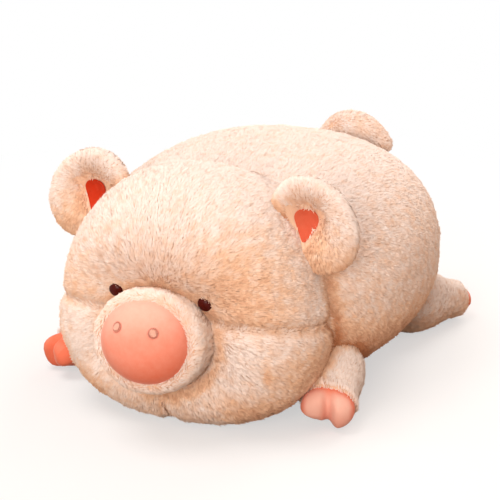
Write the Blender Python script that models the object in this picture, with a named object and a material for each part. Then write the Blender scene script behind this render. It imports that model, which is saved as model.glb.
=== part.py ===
"""Plush pig lying on its belly: sewn fur cloth covers over fillings, velour trims and moulded eyes.

Metres, +Z up, the snout towards -Y and the pig's left side towards +X. The origin is the middle of
the flat on which the belly rests.
"""
import math

import bmesh
import bpy
from mathutils import Matrix, Vector
from mathutils.bvhtree import BVHTree

# Driving dimensions of the head, in metres
HEAD_HALF_WIDTH = 0.145
HEAD_HALF_LENGTH = 0.1055
HEAD_HALF_HEIGHT = 0.136
HEAD_CENTRE_Y = -0.176
HEAD_ROUND_SHARE = 0.85
HEAD_LOW_ROUND_SHARE = 0.7
HEAD_CROWN_NARROW_SHARE = 0.17
HEAD_JOWL_SHARE = -0.3
CHEEK_SEAM_HEIGHT = 0.1124
CHEEK_SEAM_TILT = math.radians(12.2)
FACE_DENT_DEPTH = 0.024
FACE_DENT_HEIGHT = 0.115
FACE_DENT_HALF_WIDTH = 0.075
FACE_DENT_HALF_HEIGHT = 0.055

# Driving dimensions of the body
BODY_HALF_WIDTH = 0.1925
BODY_HALF_LENGTH = 0.2048
BODY_HALF_HEIGHT = 0.1250
BODY_ROUND_SHARE = 0.86
BODY_RISE_SHARE = 0.13
BELLY_PANEL_HALF_WIDTH = 0.092
BELLY_PANEL_HALF_LENGTH = 0.130
BELLY_PANEL_RISE = 0.040

# Cloth, filling and the play between pieces
WALL = 0.006
LIMB_WALL = 0.0035
GAP = 0.0003
SETTLE = 0.004
REST_CUT = 0.0005
SWING_CLEARANCE = 0.00085
CUT_OVERRUN = 0.02
CUTTER_REACH_SHARE = 4

# Muzzle, measured along its own axis from its seat in the head
MUZZLE_SEAT_SHARE = 0.72
MUZZLE_HEIGHT = 0.1045
MUZZLE_TILT = math.radians(12)
MUZZLE_FLAT_SHARE = 0.87
BAND_RADIUS = 0.0655
BAND_LENGTH = 0.043
BAND_WALL = 0.006
BAND_BURIED = 0.030
BAND_OUTER_SHARES = ((0.98, 0.1), (1, 0.42), (0.96, 0.72), (0.88, 0.93))
BAND_INNER_SHARES = ((0.96, 0.66), (1, 0.4))
BAND_ROOT_SHARE = 0.96
DISC_RADIUS = 0.0495
DISC_SEAT = 0.036
DISC_CROWN = 0.0235
DISC_ROUND_SHARES = (2.4, 0.62)
DISC_RING_SHARES = (1, 0.985, 0.93, 0.83, 0.68, 0.48, 0.25)
NOSTRIL_SPACING = 0.0406
NOSTRIL_RISE = 0.0155
NOSTRIL_RADIUS = 0.0046
NOSTRIL_THREAD = 0.0016

# Safety eyes and their washers
EYE_SPREAD_SHARE = 0.771
EYE_RISE_SHARE = 0.684
EYE_RADIUS = 0.0078
EYE_DOME = 0.0055
EYE_SUNK = 0.002
EYE_STEM_RADIUS = 0.0025
EYE_STEM_LENGTH = 0.017
WASHER_RADIUS = 0.0075
WASHER_THICKNESS = 0.002
WASHER_BACKSET = 0.0075
EYE_DOME_TURNS = [math.radians(angle) for angle in (0, 25, 50, 72)]

# Ears, folding about a seam that lies along the head's surface
EAR_BACKSET = 0.011
EAR_LEAN = math.radians(51.7)
EAR_SLIDE = 0.0125
EAR_SEAM_DEPTH = 0.004
EAR_HALF_WIDTH = 0.055
EAR_HALF_THICKNESS = 0.0115
EAR_HALF_HEIGHT = 0.0455
EAR_RISE = 0.0225
EAR_ROOT_RADIUS = 0.0122
EAR_ROOT_END_RADIUS = 0.0035
EAR_ROOT_HALF_LENGTH = 0.048
EAR_STAND_OFF = 0.0065
EAR_CUP_HALF = Vector((0.027, 0.0105, 0.027))
EAR_CUP_RISE = 0.026
EAR_CUP_FORWARD = 0.0125
LINING_THICKNESS = 0.004
LINING_FRONT_SHARE = 1.2

# Legs, each swinging about an upright axis at its ball
FORELEG_RADIUS = 0.039
FORELEG_END_RADIUS = 0.0315
FORELEG_LENGTH = 0.052
FORELEG_FLAT_SHARE = 0.74
FORELEG_SPREAD_SHARE = 0.90276
FORELEG_SETBACK = 0.05517
FORELEG_SPLAYS = (math.radians(22), math.radians(48))
FORE_HOOF_RADIUS = 0.0285
FORE_HOOF_LENGTH = 0.030
HIND_LEG_RADIUS = 0.038
HIND_LEG_END_RADIUS = 0.0295
HIND_LEG_FLAT_SHARE = 0.85
HIND_LEG_LENGTH = 0.078
HIND_LEG_SPREAD_SHARE = 0.692
HIND_LEG_BACK_SHARE = 0.586
HIND_LEG_SPLAYS = (math.radians(158), math.radians(158))
HIND_HOOF_RADIUS = 0.0265
HIND_HOOF_LENGTH = 0.016
LEG_FLOOR_GAP = 0.0003
LEG_NECK_SHARE = 0.15
LEG_SWELL_SHARES = (0.62, 0.5)
LEG_SWING = math.radians(25)
LEG_SWING_SHARES = (0, 0.5, 1)
BALL_STEP = math.radians(15)
HOOF_RING_SHARES = ((0.965, 0), (1, 0.28), (0.985, 0.52), (0.88, 0.76), (0.66, 0.91), (0.34, 0.98))
CLEFT_DEPTH_SHARE = 0.36
CLEFT_HALF_WIDTH = 0.006
CLEFT_PINCH_SHARE = 0.35

# Tail, a crescent that curls to the left over its root
TAIL_Y_SHARE = 0.88
TAIL_ROOT_PROUD = 0.003
TAIL_ROOT_RADIUS = 0.021
TAIL_NECK_RADIUS = 0.0145
TAIL_RADIUS = 0.0180
TAIL_MOUTH_RADIUS = 0.006
TAIL_TIP_RADIUS = 0.013
TAIL_CURL_HALF_WIDTH = 0.038
TAIL_CURL_HEIGHT = 0.0292
TAIL_CURL_START = math.radians(180)
TAIL_CURL_END = math.radians(27)
TAIL_END_TURNS = (math.radians(30), math.radians(60))
TAIL_TIP_FORWARD = math.radians(10)

# Facet counts
FORM_SEGMENTS, FORM_RINGS = 24, 14
BAND_SEGMENTS = 28
INNER_SEGMENTS, INNER_RINGS = 16, 9
LEG_SEGMENTS, BALL_STEPS = 20, 7
SMALL_SEGMENTS, FINE_SEGMENTS, THREAD_SEGMENTS = 16, 12, 6
EAR_ROOT_STEPS = 6
TAIL_STEPS, TAIL_INNER_STEPS, TAIL_INNER_SEGMENTS = 8, 6, 10


def material(name, colour, roughness):
    """A plain Principled material in one linear colour."""
    made = bpy.data.materials.new(name)
    made.use_nodes = True
    shader = made.node_tree.nodes["Principled BSDF"]
    shader.inputs["Base Color"].default_value = (*colour, 1)
    shader.inputs["Roughness"].default_value = roughness
    made.diffuse_color = (*colour, 1)
    return made


def add_object(name, bm, finish=None, parent=None):
    """Turn a bmesh into a named object, with its faces pointing out."""
    bmesh.ops.recalc_face_normals(bm, faces=bm.faces)
    mesh = bpy.data.meshes.new(name)
    bm.to_mesh(mesh)
    bm.free()
    mesh.shade_smooth()
    made = bpy.data.objects.new(name, mesh)
    bpy.context.collection.objects.link(made)
    made.parent = parent
    if finish:
        made.data.materials.append(finish)
    else:
        made.hide_render = True
        made.display_type = "WIRE"
    return made


def add_empty(name, location, turn=Matrix.Identity(4)):
    """A hinge point that a moving piece hangs from."""
    made = bpy.data.objects.new(name, None)
    made.matrix_world = Matrix.Translation(location) @ turn
    bpy.context.collection.objects.link(made)
    return made


def combine(target, operation, *others):
    """Stack Boolean modifiers on a piece."""
    for other in others:
        step = target.modifiers.new(other.name, "BOOLEAN")
        step.operation = operation
        step.solver = "EXACT"
        step.object = other


def power(value, exponent):
    """A power that keeps the sign, for superellipses."""
    return math.copysign(abs(value) ** exponent, value)


class StuffedForm:
    """A filled cloth form: a rounded box of revolution that settles flat on the floor."""

    def __init__(self, half, centre_y, round_share, low_round_share, crown_narrow_share=0, rise_share=0,
                 dent_depth=0):
        self.half = half
        self.centre_y = centre_y
        self.round_share = round_share
        self.low_round_share = low_round_share
        self.crown_narrow_share = crown_narrow_share
        self.rise_share = rise_share
        self.dent_depth = dent_depth

    def width_share(self, up_share):
        """The crown is narrower than the jowls."""
        return 1 - self.crown_narrow_share * max(HEAD_JOWL_SHARE, min(1, up_share))

    def level_share(self, up):
        """The form is boxier, so fuller, under its middle than above it."""
        return self.low_round_share if up < 0 else self.round_share

    def face_dent(self, x, z):
        """How far the face is pulled in round the muzzle and the eyes."""
        away = (x / FACE_DENT_HALF_WIDTH) ** 4 + ((z - FACE_DENT_HEIGHT) / FACE_DENT_HALF_HEIGHT) ** 4
        return self.dent_depth / (1 + away * math.sqrt(away))

    def point(self, unit, grow=0):
        """Where a point of the unit sphere lies on the form, grown outwards all round."""
        half = self.half + Vector((grow, grow, grow))
        flat = math.hypot(unit.x, unit.y)
        level_share = self.level_share(unit.z)
        across = flat ** level_share
        side = power(unit.x / flat, self.round_share) if flat else 0
        ahead = power(unit.y / flat, self.round_share) if flat else 0
        up_share = power(unit.z, level_share)
        height = half.z * (1 + up_share + self.rise_share * max(0, up_share) * across * ahead)
        settled = height ** 2 / (4 * SETTLE) if height < 2 * SETTLE else height - SETTLE
        x, z = half.x * across * side * self.width_share(up_share), settled - REST_CUT - grow
        dent = self.face_dent(x, z) * max(0, -ahead)
        return Vector((x, self.centre_y + half.y * across * ahead + dent, z))

    def top_z(self, y):
        """Z of the upper surface on the middle plane."""
        ahead = (y - self.centre_y) / self.half.y
        up = math.sqrt(1 - abs(ahead) ** (2 / self.round_share)) ** self.round_share
        return self.half.z * (1 + up + self.rise_share * up * ahead) - SETTLE - REST_CUT

    def furthest(self, direction, y, steps=180):
        """The point of the cross-section at this Y that lies furthest in a direction."""
        along = abs(y - self.centre_y) / self.half.y
        best = None
        for step in range(steps):
            turn = math.pi * step / steps - math.pi / 2
            flat = math.cos(turn)
            across = flat ** self.level_share(turn)
            if across <= along:
                continue
            side = math.sqrt(1 - (along / across) ** (2 / self.round_share)) ** self.round_share
            unit = Vector((flat, 0, math.sin(turn)))
            found = self.point(unit)
            found.x *= side
            found.y = y
            if best is None or found.dot(direction) > best.dot(direction):
                best = found
        return best

    def bmesh(self, segments, rings, grow=0, cut_flat=False):
        """The closed surface, cut flat at the floor where asked."""
        bm = bmesh.new()
        bmesh.ops.create_uvsphere(bm, u_segments=segments, v_segments=rings, radius=1)
        for vert in bm.verts:
            vert.co = self.point(vert.co, grow)
        bmesh.ops.triangulate(bm, faces=bm.faces, quad_method="FIXED")
        if cut_flat:
            geometry = bm.verts[:] + bm.edges[:] + bm.faces[:]
            cut = bmesh.ops.bisect_plane(bm, geom=geometry, plane_co=(0, 0, 0), plane_no=(0, 0, -1),
                                         clear_outer=True)
            rim = [item for item in cut["geom_cut"] if isinstance(item, bmesh.types.BMEdge)]
            bmesh.ops.contextual_create(bm, geom=rim)
        return bm


def turned(profile, segments):
    """A closed solid turned about local Z from (radius, height) pairs that start and end on the axis."""
    bm = bmesh.new()
    ring = [bm.verts.new((radius, 0, height)) for radius, height in profile]
    edges = [bm.edges.new(pair) for pair in zip(ring, ring[1:])]
    bmesh.ops.spin(bm, geom=ring + edges, cent=(0, 0, 0), axis=(0, 0, 1), angle=math.tau, steps=segments,
                   use_merge=True)
    bmesh.ops.remove_doubles(bm, verts=bm.verts, dist=GAP / 10)
    return bm


def turned_ring(profile, segments):
    """A closed solid turned about local Z from a closed outline of (radius, height) pairs."""
    bm = bmesh.new()
    ring = [bm.verts.new((radius, 0, height)) for radius, height in profile]
    edges = [bm.edges.new((ring[index - 1], ring[index])) for index in range(len(ring))]
    bmesh.ops.spin(bm, geom=ring + edges, cent=(0, 0, 0), axis=(0, 0, 1), angle=math.tau, steps=segments,
                   use_merge=True)
    return bm


def ellipsoid(half, centre, segments=SMALL_SEGMENTS, rings=SMALL_SEGMENTS // 2, grow=0):
    """A plain ellipsoid, grown outwards all round."""
    bm = bmesh.new()
    bmesh.ops.create_uvsphere(bm, u_segments=segments, v_segments=rings, radius=1)
    size = Vector(half) + Vector((grow, grow, grow))
    bmesh.ops.scale(bm, vec=size, verts=bm.verts)
    bmesh.ops.translate(bm, vec=centre, verts=bm.verts)
    return bm


def block(name, size, place):
    """A box cutter, from its size and a matrix that puts its middle in place."""
    bm = bmesh.new()
    bmesh.ops.create_cube(bm, size=1, matrix=place @ Matrix.Diagonal((*size, 1)))
    return add_object(name, bm)


def aim(direction, side=None):
    """A turn that takes local Z along a direction and keeps local Y upright, or local X along a side."""
    forward = direction.normalized()
    side = side or Vector((0, 0, 1)).cross(forward).normalized()
    return Matrix((side, forward.cross(side), forward)).transposed().to_4x4()


# Finishes, in linear colours of the lit cloth
def make_finishes():
    return {
        "fur": material("cream_fur", (0.87, 0.62, 0.47), 0.95),
        "velour": material("pink_velour", (0.93, 0.30, 0.20), 0.9),
        "lining": material("coral_velour", (0.85, 0.17, 0.09), 0.9),
        "eye": material("maroon_gloss", (0.03, 0.003, 0.002), 0.08),
        "thread": material("pink_thread", (0.80, 0.25, 0.18), 0.6),
        "filling": material("white_filling", (0.85, 0.85, 0.83), 1.0),
        "washer": material("white_washer", (0.75, 0.75, 0.72), 0.4),
    }


# Head and body covers
def make_head(head, finish):
    """Three cloth panels round a filling, parted by the cheek seam and the chin seam."""
    reach = CUTTER_REACH_SHARE * max(head.half)
    seam = Matrix.Translation((0, head.centre_y, CHEEK_SEAM_HEIGHT))
    seam @= Matrix.Rotation(-CHEEK_SEAM_TILT, 4, "X")
    shift = reach / 2 - GAP / 2
    cube = (reach, reach, reach)
    above = block("above_cheek_seam", cube, seam @ Matrix.Translation((0, 0, shift)))
    below = block("below_cheek_seam", cube, seam @ Matrix.Translation((0, 0, -shift)))
    left = block("left_of_chin_seam", cube, Matrix.Translation((shift, head.centre_y, 0)))
    right = block("right_of_chin_seam", cube, Matrix.Translation((-shift, head.centre_y, 0)))
    inside = add_object("head_inside", head.bmesh(INNER_SEGMENTS, INNER_RINGS, -WALL))
    panels = {}
    for name, cutters in (("head_top_panel", (below,)), ("cheek_panel_left", (above, right)),
                          ("cheek_panel_right", (above, left))):
        panels[name] = add_object(name, head.bmesh(FORM_SEGMENTS, FORM_RINGS, cut_flat=True), finish["fur"])
        combine(panels[name], "DIFFERENCE", inside, *cutters)
    filling = head.bmesh(INNER_SEGMENTS, INNER_RINGS, -WALL - GAP)
    panels["head_stuffing"] = add_object("head_stuffing", filling, finish["filling"])
    return panels


def make_body(body, head, finish):
    """Two side panels and a belly panel round a filling, all open to the head at the neck."""
    reach = CUTTER_REACH_SHARE * max(body.half)
    cube = (reach, reach, reach)
    shift = reach / 2 - GAP / 2
    left = block("left_of_back_seam", cube, Matrix.Translation((shift, body.centre_y, 0)))
    right = block("right_of_back_seam", cube, Matrix.Translation((-shift, body.centre_y, 0)))
    inside = add_object("body_inside", body.bmesh(INNER_SEGMENTS, INNER_RINGS, -WALL))
    neck = add_object("neck_opening", head.bmesh(FORM_SEGMENTS, FORM_RINGS, GAP))
    columns = []
    for name, grow in (("belly_panel_outline", -GAP / 2), ("belly_panel_hole", GAP / 2)):
        profile = [(0, -CUT_OVERRUN), (1, -CUT_OVERRUN), (1, BELLY_PANEL_RISE), (0, BELLY_PANEL_RISE)]
        bm = turned(profile, FORM_SEGMENTS)
        size = (BELLY_PANEL_HALF_WIDTH + grow, BELLY_PANEL_HALF_LENGTH + grow, 1)
        bmesh.ops.scale(bm, vec=size, verts=bm.verts)
        bmesh.ops.translate(bm, vec=(0, body.centre_y, 0), verts=bm.verts)
        columns.append(add_object(name, bm))
    outline, hole = columns
    pieces = {}
    for name in ("body_panel_left", "body_panel_right", "belly_panel"):
        pieces[name] = add_object(name, body.bmesh(FORM_SEGMENTS, FORM_RINGS, cut_flat=True), finish["fur"])
    combine(pieces["belly_panel"], "INTERSECT", outline)
    combine(pieces["belly_panel"], "DIFFERENCE", inside, neck)
    combine(pieces["body_panel_left"], "DIFFERENCE", inside, right, hole, neck)
    combine(pieces["body_panel_right"], "DIFFERENCE", inside, left, hole, neck)
    filling = body.bmesh(INNER_SEGMENTS, INNER_RINGS, -WALL - GAP)
    pieces["body_stuffing"] = add_object("body_stuffing", filling, finish["filling"])
    combine(pieces["body_stuffing"], "DIFFERENCE", neck)
    return pieces


# Muzzle
def disc_crown_height(radius):
    """Height of the domed snout over its seat at a distance from its axis."""
    share = min(1, radius / DISC_RADIUS)
    flat, round_off = DISC_ROUND_SHARES
    return DISC_CROWN * (1 - share ** flat) ** round_off


def make_muzzle(head, finish):
    """A fur band round a domed velour disc, both on a filling that sits on the face."""
    seat = Vector((0, head.centre_y - head.half.y * MUZZLE_SEAT_SHARE, MUZZLE_HEIGHT))
    turn = aim(Vector((0, -math.cos(MUZZLE_TILT), math.sin(MUZZLE_TILT))))
    place = Matrix.Translation(seat) @ turn
    face = add_object("face_under_muzzle", head.bmesh(FORM_SEGMENTS, FORM_RINGS, GAP))
    flat = Vector((1, MUZZLE_FLAT_SHARE, 1))
    lip = DISC_RADIUS + GAP
    inner = BAND_RADIUS - BAND_WALL
    band = [(BAND_RADIUS * BAND_ROOT_SHARE, -BAND_BURIED)]
    band += [(BAND_RADIUS * wide, BAND_LENGTH * far) for wide, far in BAND_OUTER_SHARES]
    band += [(lip + GAP, BAND_LENGTH), (lip, DISC_SEAT - GAP)]
    band += [(inner * wide, BAND_LENGTH * far) for wide, far in BAND_INNER_SHARES]
    band += [(inner * BAND_ROOT_SHARE, -BAND_BURIED)]
    bm = turned_ring(band, BAND_SEGMENTS)
    bmesh.ops.scale(bm, vec=flat, verts=bm.verts)
    muzzle_band = add_object("muzzle_band", bm, finish["fur"])
    core = inner - GAP
    filling = [(0, -BAND_BURIED), (core * BAND_ROOT_SHARE, -BAND_BURIED)]
    filling += [(core * wide, BAND_LENGTH * far - GAP) for wide, far in reversed(BAND_INNER_SHARES)]
    filling += [(lip - GAP, DISC_SEAT - 2 * GAP), (0, DISC_SEAT - 2 * GAP)]
    bm = turned(filling, BAND_SEGMENTS)
    bmesh.ops.scale(bm, vec=flat, verts=bm.verts)
    muzzle_stuffing = add_object("muzzle_stuffing", bm, finish["filling"])
    disc = [(0, DISC_SEAT), (DISC_RADIUS, DISC_SEAT)]
    for share in DISC_RING_SHARES:
        disc.append((DISC_RADIUS * share, BAND_LENGTH + disc_crown_height(DISC_RADIUS * share)))
    disc.append((0, BAND_LENGTH + DISC_CROWN))
    bm = turned(disc, BAND_SEGMENTS)
    bmesh.ops.scale(bm, vec=flat, verts=bm.verts)
    snout_disc = add_object("snout_disc", bm, finish["velour"])
    for piece in (muzzle_band, muzzle_stuffing, snout_disc):
        piece.matrix_world = place
        combine(piece, "DIFFERENCE", face)
    for side, name in ((1, "left"), (-1, "right")):
        make_nostril(side, name, place, snout_disc, finish)
    return {"muzzle_band": muzzle_band, "muzzle_stuffing": muzzle_stuffing}


def make_nostril(side, name, place, snout_disc, finish):
    """A satin-stitched ring, bedded half its thread deep in the velour."""
    x = side * NOSTRIL_SPACING / 2
    from_axis = math.hypot(x, NOSTRIL_RISE / MUZZLE_FLAT_SHARE)
    height = BAND_LENGTH + disc_crown_height(from_axis)
    fall = disc_crown_height(from_axis) - disc_crown_height(from_axis + NOSTRIL_RADIUS)
    slope = fall / NOSTRIL_RADIUS
    outwards = Vector((x, NOSTRIL_RISE / MUZZLE_FLAT_SHARE, 0)).normalized() * slope
    normal = Vector((outwards.x, outwards.y, 1))
    local = Matrix.Translation((x, NOSTRIL_RISE, height)) @ aim(normal)
    for thread, label, colour in ((NOSTRIL_THREAD, "nostril_", finish["thread"]),
                                  (NOSTRIL_THREAD + GAP, "nostril_groove_", None)):
        bm = bmesh.new()
        upright = Matrix.Translation((NOSTRIL_RADIUS, 0, 0)) @ Matrix.Rotation(math.pi / 2, 4, "X")
        bmesh.ops.create_circle(bm, segments=THREAD_SEGMENTS, radius=thread, matrix=upright)
        bmesh.ops.spin(bm, geom=bm.verts[:] + bm.edges[:], cent=(0, 0, 0), axis=(0, 0, 1), angle=math.tau,
                       steps=FINE_SEGMENTS, use_merge=True)
        made = add_object(label + name, bm, colour)
        made.matrix_world = place @ local
    combine(snout_disc, "DIFFERENCE", made)


# Eyes
def eye_profile(grow, with_washer=False):
    """Dome and stem of an eye, and where asked the room for its washer."""
    stem = EYE_STEM_RADIUS + grow
    profile = [(0, -EYE_STEM_LENGTH - grow), (stem, -EYE_STEM_LENGTH - grow)]
    if with_washer:
        low, high = -WASHER_BACKSET - WASHER_THICKNESS - grow, -WASHER_BACKSET + grow
        profile += [(stem, low), (WASHER_RADIUS + grow, low), (WASHER_RADIUS + grow, high), (stem, high)]
    profile += [(stem, -grow), (EYE_RADIUS + grow, -grow)]
    for turn in EYE_DOME_TURNS:
        profile.append((EYE_RADIUS * math.cos(turn) + grow, EYE_DOME * math.sin(turn) + grow))
    profile.append((0, EYE_DOME + grow))
    return profile


def make_eyes(head, pieces, finish):
    """Moulded domes whose stems go through the cloth into a lock washer."""
    x, z = BAND_RADIUS * EYE_SPREAD_SHARE, MUZZLE_HEIGHT + BAND_RADIUS * EYE_RISE_SHARE
    step = EYE_RADIUS
    cover = BVHTree.FromBMesh(head.bmesh(FORM_SEGMENTS, FORM_RINGS))

    def front_y(x, z):
        """Y of the cover in front of a place."""
        return cover.ray_cast(Vector((x, head.centre_y, z)), Vector((0, -1, 0)))[0].y

    front = front_y(x, z)
    slope_x = (front_y(x + step, z) - front_y(x - step, z)) / (2 * step)
    slope_z = (front_y(x, z + step) - front_y(x, z - step)) / (2 * step)
    for side, name in ((1, "left"), (-1, "right")):
        normal = Vector((side * slope_x, -1, slope_z)).normalized()
        place = Matrix.Translation(Vector((side * x, front, z)) - normal * EYE_SUNK) @ aim(normal)
        solids = (("eye_", eye_profile(0), finish["eye"]), ("eye_hole_", eye_profile(GAP, True), None))
        for label, profile, colour in solids:
            hole = add_object(label + name, turned(profile, FINE_SEGMENTS), colour)
            hole.matrix_world = place
        inner, back = EYE_STEM_RADIUS + GAP, -WASHER_BACKSET - WASHER_THICKNESS
        corners = [(inner, back), (WASHER_RADIUS, back), (WASHER_RADIUS, -WASHER_BACKSET),
                   (inner, -WASHER_BACKSET)]
        washer = add_object("eye_washer_" + name, turned_ring(corners, FINE_SEGMENTS), finish["washer"])
        washer.matrix_world = place
        cheek = "cheek_panel_" + name
        for cut in ("head_top_panel", cheek, "head_stuffing", "muzzle_band", "muzzle_stuffing"):
            combine(pieces[cut], "DIFFERENCE", hole)


# Ears
def ear_root(grow):
    """A spindle round the ear's seam, which turns in its own groove."""
    length = EAR_ROOT_HALF_LENGTH + grow
    profile = [(0, -length)]
    for step in range(EAR_ROOT_STEPS + 1):
        along = 2 * step / EAR_ROOT_STEPS - 1
        swell = (EAR_ROOT_RADIUS - EAR_ROOT_END_RADIUS) * math.sqrt(1 - along * along)
        profile.append((EAR_ROOT_END_RADIUS + swell + grow, along * length))
    profile.append((0, length))
    bm = turned(profile, SMALL_SEGMENTS)
    bmesh.ops.rotate(bm, cent=(0, 0, 0), matrix=Matrix.Rotation(math.pi / 2, 3, "Y"), verts=bm.verts)
    return bm


def make_ears(head, panels, finish):
    """Cupped leaves that fold forward and back about the seam at their root."""
    stand_off = add_object("ear_stand_off", head.bmesh(FORM_SEGMENTS, FORM_RINGS, EAR_STAND_OFF))
    for side, name in ((1, "left"), (-1, "right")):
        normal = Vector((math.sin(EAR_LEAN), 0, math.cos(EAR_LEAN)))
        base = Vector((math.cos(EAR_LEAN), 0, -math.sin(EAR_LEAN)))
        spot = head.furthest(normal, head.centre_y + EAR_BACKSET)
        spot += base * EAR_SLIDE - normal * EAR_SEAM_DEPTH
        spot.x *= side
        hinge = add_empty("ear_hinge_" + name, spot, Matrix.Rotation(side * EAR_LEAN, 4, "Y"))
        root = add_object("ear_root_" + name, ear_root(0), None, hinge)
        groove = add_object("ear_groove_" + name, ear_root(SWING_CLEARANCE / 2), None, hinge)
        cup_centre = (0, -EAR_CUP_FORWARD, EAR_CUP_RISE)
        cup = add_object("ear_cup_" + name, ellipsoid(EAR_CUP_HALF, cup_centre), None, hinge)
        leaf_half = (EAR_HALF_WIDTH, EAR_HALF_THICKNESS, EAR_HALF_HEIGHT)
        bm = ellipsoid(leaf_half, (0, 0, EAR_RISE), LEG_SEGMENTS, LEG_SEGMENTS // 2)
        ear = add_object("ear_" + name, bm, finish["fur"], hinge)
        combine(ear, "DIFFERENCE", stand_off)
        combine(ear, "UNION", root)
        combine(ear, "DIFFERENCE", cup)
        lining = add_object("ear_lining_" + name, ellipsoid(EAR_CUP_HALF, cup_centre, grow=-GAP),
                            finish["lining"], hinge)
        front_centre = (0, -EAR_CUP_FORWARD - LINING_THICKNESS, EAR_CUP_RISE)
        front_half = (EAR_CUP_HALF.x * LINING_FRONT_SHARE, EAR_CUP_HALF.y,
                      EAR_CUP_HALF.z * LINING_FRONT_SHARE)
        front = add_object("ear_lining_front_" + name, ellipsoid(front_half, front_centre), None, hinge)
        combine(lining, "DIFFERENCE", front, stand_off)
        combine(panels["head_top_panel"], "DIFFERENCE", groove)
        combine(panels["head_stuffing"], "DIFFERENCE", groove)


# Legs
class Leg:
    """The sizes of one kind of leg and the forms that follow from them."""

    def __init__(self, radius, end_radius, length, flat_share, hoof_radius, hoof_length):
        self.radius = radius
        self.end_radius = end_radius
        self.length = length
        self.flat_share = flat_share
        self.hoof_radius = hoof_radius
        self.hoof_length = hoof_length

    def direction(self, splay):
        """From the ball to the hoof, which both lie on the floor."""
        drop = (self.radius - self.hoof_radius * self.flat_share) / (self.length + self.hoof_length / 2)
        return Vector((math.sin(splay), -math.cos(splay), -drop))

    def flatten(self, bm):
        """A leg is round at its ball and lower than wide at its hoof seam."""
        for vert in bm.verts:
            share = max(0, min(1, vert.co.z / self.length))
            vert.co.y *= 1 - (1 - self.flat_share) * share * share * (3 - 2 * share)

    def sleeve(self, grow, segments, beyond=0):
        """Ball, swelling and taper, grown all round, that may run on past the hoof seam."""
        radius = self.radius + grow
        turns = [BALL_STEP * step - math.pi / 2 for step in range(1, BALL_STEPS)]
        profile = [(0, -radius)]
        profile += [(radius * math.cos(turn), radius * math.sin(turn)) for turn in turns]
        end = self.end_radius + grow
        wide, far = LEG_SWELL_SHARES
        profile += [(end + (radius - end) * wide, self.length * far), (end, self.length)]
        if beyond:
            profile.append((end, self.length + beyond))
        profile.append((0, self.length + beyond))
        bm = turned(profile, segments)
        self.flatten(bm)
        bmesh.ops.triangulate(bm, faces=bm.faces, quad_method="FIXED")
        return bm

    def room(self):
        """The room that the leg and its hoof need beyond the ball."""
        play = SWING_CLEARANCE
        neck = self.radius * LEG_NECK_SHARE
        end = self.length + self.hoof_length
        seam = (self.radius + max(self.end_radius, self.hoof_radius)) / 2 + play
        profile = [(0, neck), (self.radius + play, neck), (seam, self.length),
                   (self.hoof_radius + play, end - self.hoof_length / 2), (0, end + play)]
        bm = turned(profile, LEG_SEGMENTS)
        self.flatten(bm)
        bmesh.ops.triangulate(bm, faces=bm.faces, quad_method="FIXED")
        return bm

    def hoof(self):
        """A cloven velour tip: a blunt dome with a cleft between its two toes."""
        back = self.length + GAP
        profile = [(0, back)]
        for wide, far in HOOF_RING_SHARES:
            profile.append((self.hoof_radius * wide, back + self.hoof_length * far))
        profile.append((0, back + self.hoof_length))
        bm = turned(profile, LEG_SEGMENTS)
        for vert in bm.verts:
            far = (vert.co.z - back) / self.hoof_length
            cleft = math.exp(-(vert.co.x / CLEFT_HALF_WIDTH) ** 2) * far
            vert.co.z -= CLEFT_DEPTH_SHARE * self.hoof_length * cleft
            vert.co.y *= self.flat_share * (1 - CLEFT_PINCH_SHARE * cleft)
        return bm


def make_legs(head, body, targets, finish):
    """Four legs that each swing outwards about an upright axis through their ball."""
    foreleg = Leg(FORELEG_RADIUS, FORELEG_END_RADIUS, FORELEG_LENGTH, FORELEG_FLAT_SHARE, FORE_HOOF_RADIUS,
                  FORE_HOOF_LENGTH)
    hind_leg = Leg(HIND_LEG_RADIUS, HIND_LEG_END_RADIUS, HIND_LEG_LENGTH, HIND_LEG_FLAT_SHARE, HIND_HOOF_RADIUS,
                   HIND_HOOF_LENGTH)
    fore_root = head.half.x * FORELEG_SPREAD_SHARE, head.centre_y + FORELEG_SETBACK
    hind_root = body.half.x * HIND_LEG_SPREAD_SHARE, body.half.y * HIND_LEG_BACK_SHARE
    kinds = (("foreleg_", "fore_hoof_", foreleg, fore_root, FORELEG_SPLAYS, 1),
             ("hind_leg_", "hind_hoof_", hind_leg, hind_root, HIND_LEG_SPLAYS, -1))
    for leg_name, hoof_name, leg, (across, y), splays, swing_sign in kinds:
        for side, name, splay in ((1, "left", splays[0]), (-1, "right", splays[1])):
            spot = Vector((side * across, y, leg.radius + LEG_FLOOR_GAP))
            turn = aim(leg.direction(side * splay))
            label = leg_name + name
            hinge = add_empty(label + "_hinge", spot, turn)
            inside = leg.sleeve(-LIMB_WALL, INNER_SEGMENTS, CUT_OVERRUN)
            hollow = add_object(label + "_inside", inside, None, hinge)
            cover = add_object(label, leg.sleeve(0, LEG_SEGMENTS), finish["fur"], hinge)
            combine(cover, "DIFFERENCE", hollow)
            filling = leg.sleeve(-LIMB_WALL - GAP, INNER_SEGMENTS)
            add_object(label + "_stuffing", filling, finish["filling"], hinge)
            add_object(hoof_name + name, leg.hoof(), finish["velour"], hinge)
            ball = (leg.radius, leg.radius, leg.radius)
            socket = ellipsoid(ball, spot, LEG_SEGMENTS, FINE_SEGMENTS, SWING_CLEARANCE)
            cutters = [add_object(label + "_socket", socket)]
            for step, swing_share in enumerate(LEG_SWING_SHARES):
                swing = Matrix.Rotation(side * swing_sign * LEG_SWING * swing_share, 4, "Z")
                swung = add_empty(label + "_swung_%d" % step, spot, swing @ turn)
                cutters.append(add_object(label + "_swing_%d" % step, leg.room(), None, swung))
            for target in targets[label]:
                combine(target, "DIFFERENCE", *cutters)


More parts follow.
